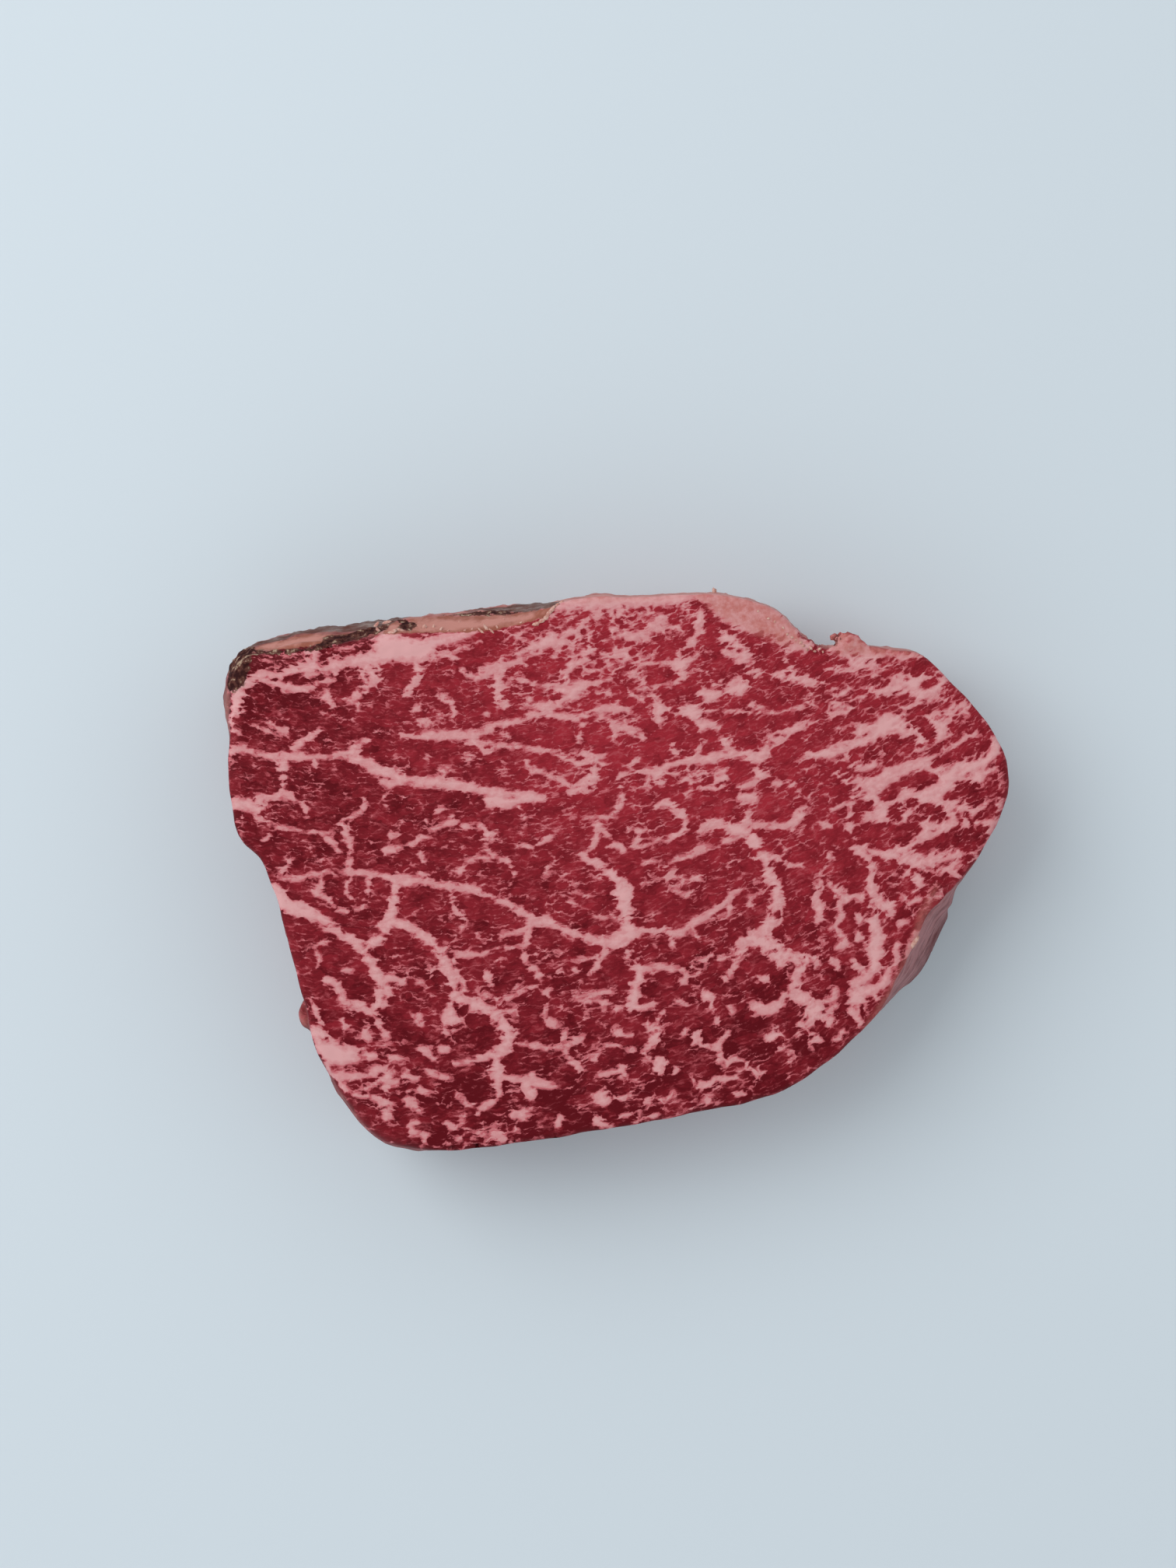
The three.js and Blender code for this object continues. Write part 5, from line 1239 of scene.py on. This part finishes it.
def raw_beef(meat):
    """Raw beef, cut with a knife: dark red muscle netted with pink fat, which is firm, fairly matte and only
    slightly moist. The sides carry dried brown crust, silverskin and a thin tan film."""
    material, tree = new_material("Raw marbled beef")
    at = read_maps(tree)
    muscle = weave(tree, at)
    patches = add_node(tree, "TexNoise",
                       {"Vector": at.place, "Scale": 1 / (PATCH * MM), "Detail": 4, "Roughness": 0.6})[0]
    blotches = add_node(tree, "TexNoise",
                        {"Vector": at.place, "Scale": 1 / (BLOTCH * MM), "Detail": 5, "Roughness": 0.65})[0]
    crags = add_node(tree, "TexNoise",
                     {"Vector": at.place, "Scale": 1 / (CRAG * MM), "Detail": 5, "Roughness": 0.6})[0]
    colour = marbling(tree, meat, at, muscle, lean_muscle(tree, meat, at, muscle))
    colour = dried_cap(tree, meat, at, colour)
    colour = thin_film(tree, meat, at, colour, patches, blotches)
    colour = silverskin(tree, meat, at, colour, patches)
    colour = bared_fat(tree, meat, at, colour, blotches, crags)
    colour = dried_rind(tree, meat, at, colour, blotches, crags)
    colour, crusted = dark_crust_and_shadow_line(tree, meat, at, colour, crags)
    roughness = add_node(tree, "MapRange", {0: crusted, 3: 0.46, 4: 0.8})[0]
    bump = add_node(tree, "Bump",
                    {"Strength": 0.15, "Distance": 0.2 * MM, "Height": muscle.fibre_height})[0]
    shader = add_node(tree, "BsdfPrincipled",
                      {"Base Color": colour, "Roughness": roughness, "Normal": bump,
                       "IOR": 1.4, "Specular IOR Level": 0.1})[0]
    add_node(tree, "OutputMaterial", {"Surface": shader})
    return material


class STEAK_OT_meat(bpy.types.Operator):
    """Models the marbled meat over a copy of the plain solid"""

    bl_idname = "steak.meat"
    bl_label = "Meat"

    def execute(self, context):
        meat = context.scene.steak_meat
        piece = copy_of_node(MEAT_PIECE, NODE)
        apply_modifier(piece, "REMESH", mode="VOXEL", voxel_size=meat.mesh_step)
        apply_modifier(piece, "SMOOTH", factor=0.5, iterations=3)
        thin_underside(piece)
        soften_notch(piece)
        raise_relief(piece, meat)
        piece.data.materials.append(raw_beef(meat))
        bpy.ops.object.shade_smooth()
        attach(piece, BODY)
        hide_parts(NODE)
        return {"FINISHED"}


# The crumbs

def dried_fat(meat):
    """Crumbs of dried beef fat, torn by the knife: cream, faintly mottled in grains about 0.6 mm across, waxy
    and fairly matte."""
    material, tree = new_material("Dried fat crumbs")
    place = add_node(tree, "TexCoord")["Object"]
    mottle = add_node(tree, "TexNoise", {"Vector": place, "Scale": 1 / (CRUMB_MOTTLE * MM), "Detail": 3})[0]
    colour, _ = lay_over(tree, opaque(meat.bared_fat), opaque(meat.crumb), mottle, 0.35, 0.65)
    shader = add_node(tree, "BsdfPrincipled",
                      {"Base Color": colour, "Roughness": 0.6, "Specular IOR Level": 0.2})[0]
    add_node(tree, "OutputMaterial", {"Surface": shader})
    return material


def under(surface, x, y):
    """The spot of the meat under a crumb and the way that it faces, or the rim by one that hangs over it."""
    top, normal, _, _ = surface.ray_cast(Vector((x * MM, y * MM, CRUMB_DROP_Z * MM)), Vector((0, 0, -1)))
    if top is None:
        top, normal, _, _ = surface.find_nearest(Vector((x * MM, y * MM, CRUMB_RIM_Z * MM)))
        top = Vector((x * MM, y * MM, top.z))
    return top, normal


class STEAK_OT_crumbs(bpy.types.Operator):
    """Lays crumbs and flakes of dried fat on the meat"""

    bl_idname = "steak.crumbs"
    bl_label = "Crumbs"

    def execute(self, context):
        meat = context.scene.steak_meat
        surface = BVHTree.FromObject(bpy.data.objects[MEAT_PIECE], context.evaluated_depsgraph_get())
        lumps = random.Random(CRUMB_SEED)
        bpy.ops.object.select_all(action="DESELECT")
        crumbs = []
        for x, y, long, wide, turn in CRUMBS:
            top, normal = under(surface, x, y)
            along = Vector((math.cos(math.radians(turn)), math.sin(math.radians(turn)), 0))
            across = (normal + Vector((0, 0, 1))).cross(along).normalized()
            pose = Matrix((along, across, along.cross(across))).transposed()
            bpy.ops.mesh.primitive_ico_sphere_add(
                subdivisions=2, radius=0.5, calc_uvs=False, location=top, rotation=pose.to_euler(),
                scale=(long * MM, wide * MM, meat.crumb_height * wide))
            crumbs.append(context.object)
            for vertex in context.object.data.vertices:
                vertex.co *= 1 + lumps.uniform(-CRUMB_LUMPS, CRUMB_LUMPS)
        for crumb in crumbs:
            crumb.select_set(True)
        bpy.ops.object.join()
        bpy.ops.object.transform_apply()
        bpy.ops.object.shade_smooth()
        piece = context.object
        piece.name = CRUMB_PIECE
        piece.data.materials.append(dried_fat(meat))
        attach(piece, BODY)
        return {"FINISHED"}


# The stage

class STEAK_OT_stage(bpy.types.Operator):
    """Lays the floor, sets the light and places the camera"""

    bl_idname = "steak.stage"
    bl_label = "Stage"

    def execute(self, context):
        stage = context.scene.steak_stage
        self.lay_floor(stage)
        self.set_light(context.scene, stage)
        self.place_camera(context.scene, stage)
        return {"FINISHED"}

    def lay_floor(self, stage):
        """A wide, plain, matte board."""
        material, tree = new_material("Matte painted board")
        shader = add_node(tree, "BsdfPrincipled",
                          {"Base Color": opaque(stage.floor), "Roughness": 0.9, "Specular IOR Level": 0.1})[0]
        add_node(tree, "OutputMaterial", {"Surface": shader})
        bpy.ops.object.select_all(action="DESELECT")
        bpy.ops.mesh.primitive_plane_add(size=stage.floor_size)
        floor = bpy.context.object
        floor.name = "floor"
        floor.data.materials.append(material)

    def set_light(self, scene, stage):
        """One large soft light from the upper left, and light from all round that is weaker overhead."""
        world = bpy.data.worlds.new("Soft studio")
        world.use_nodes = True
        tree = world.node_tree
        tree.nodes.clear()
        way = add_node(tree, "TexCoord")["Generated"]
        height = add_node(tree, "SeparateXYZ", {0: way})[2]
        strength = add_node(tree, "MapRange",
                            {0: height, 1: SKY_EDGE[0], 2: SKY_EDGE[1],
                             3: stage.sky_strength, 4: SKY_TOP * stage.sky_strength})[0]
        sky = add_node(tree, "Background", {"Color": opaque(stage.sky), "Strength": strength})[0]
        add_node(tree, "OutputWorld", {"Surface": sky})
        scene.world = world
        key = bpy.data.lights.new("key", "AREA")
        key.energy = stage.key_power
        key.size = stage.key_size
        lamp = bpy.data.objects.new("key", key)
        lamp.location = stage.key_place
        lamp.rotation_euler = (-Vector(stage.key_place)).to_track_quat("-Z", "Y").to_euler()
        scene.collection.objects.link(lamp)

    def place_camera(self, scene, stage):
        """A camera that looks straight down, as the photograph was taken."""
        camera = bpy.data.cameras.new("camera")
        camera.lens = stage.camera_lens
        holder = bpy.data.objects.new("camera", camera)
        holder.location = stage.camera_place
        scene.collection.objects.link(holder)
        scene.camera = holder
        scene.view_settings.view_transform = "Standard"


class STEAK_PT_panel(bpy.types.Panel):
    """Lists the pieces of the steak"""

    bl_label = "Raw Beef Steak"
    bl_idname = "STEAK_PT_panel"
    bl_space_type = "VIEW_3D"
    bl_region_type = "UI"
    bl_category = "Steak"

    def draw(self, context):
        for operator in OPERATORS:
            self.layout.operator(operator.bl_idname)


OPERATORS = (STEAK_OT_meat, STEAK_OT_crumbs, STEAK_OT_stage)
CLASSES = (SteakMeat, SteakStage, *OPERATORS, STEAK_PT_panel)


def register():
    for item in CLASSES:
        bpy.utils.register_class(item)
    bpy.types.Scene.steak_meat = bpy.props.PointerProperty(type=SteakMeat)
    bpy.types.Scene.steak_stage = bpy.props.PointerProperty(type=SteakStage)


def unregister():
    del bpy.types.Scene.steak_stage
    del bpy.types.Scene.steak_meat
    for item in reversed(CLASSES):
        bpy.utils.unregister_class(item)


def main():
    register()
    bpy.ops.steak.meat()
    bpy.ops.steak.crumbs()
    bpy.ops.steak.stage()


if __name__ == "__main__":
    main()
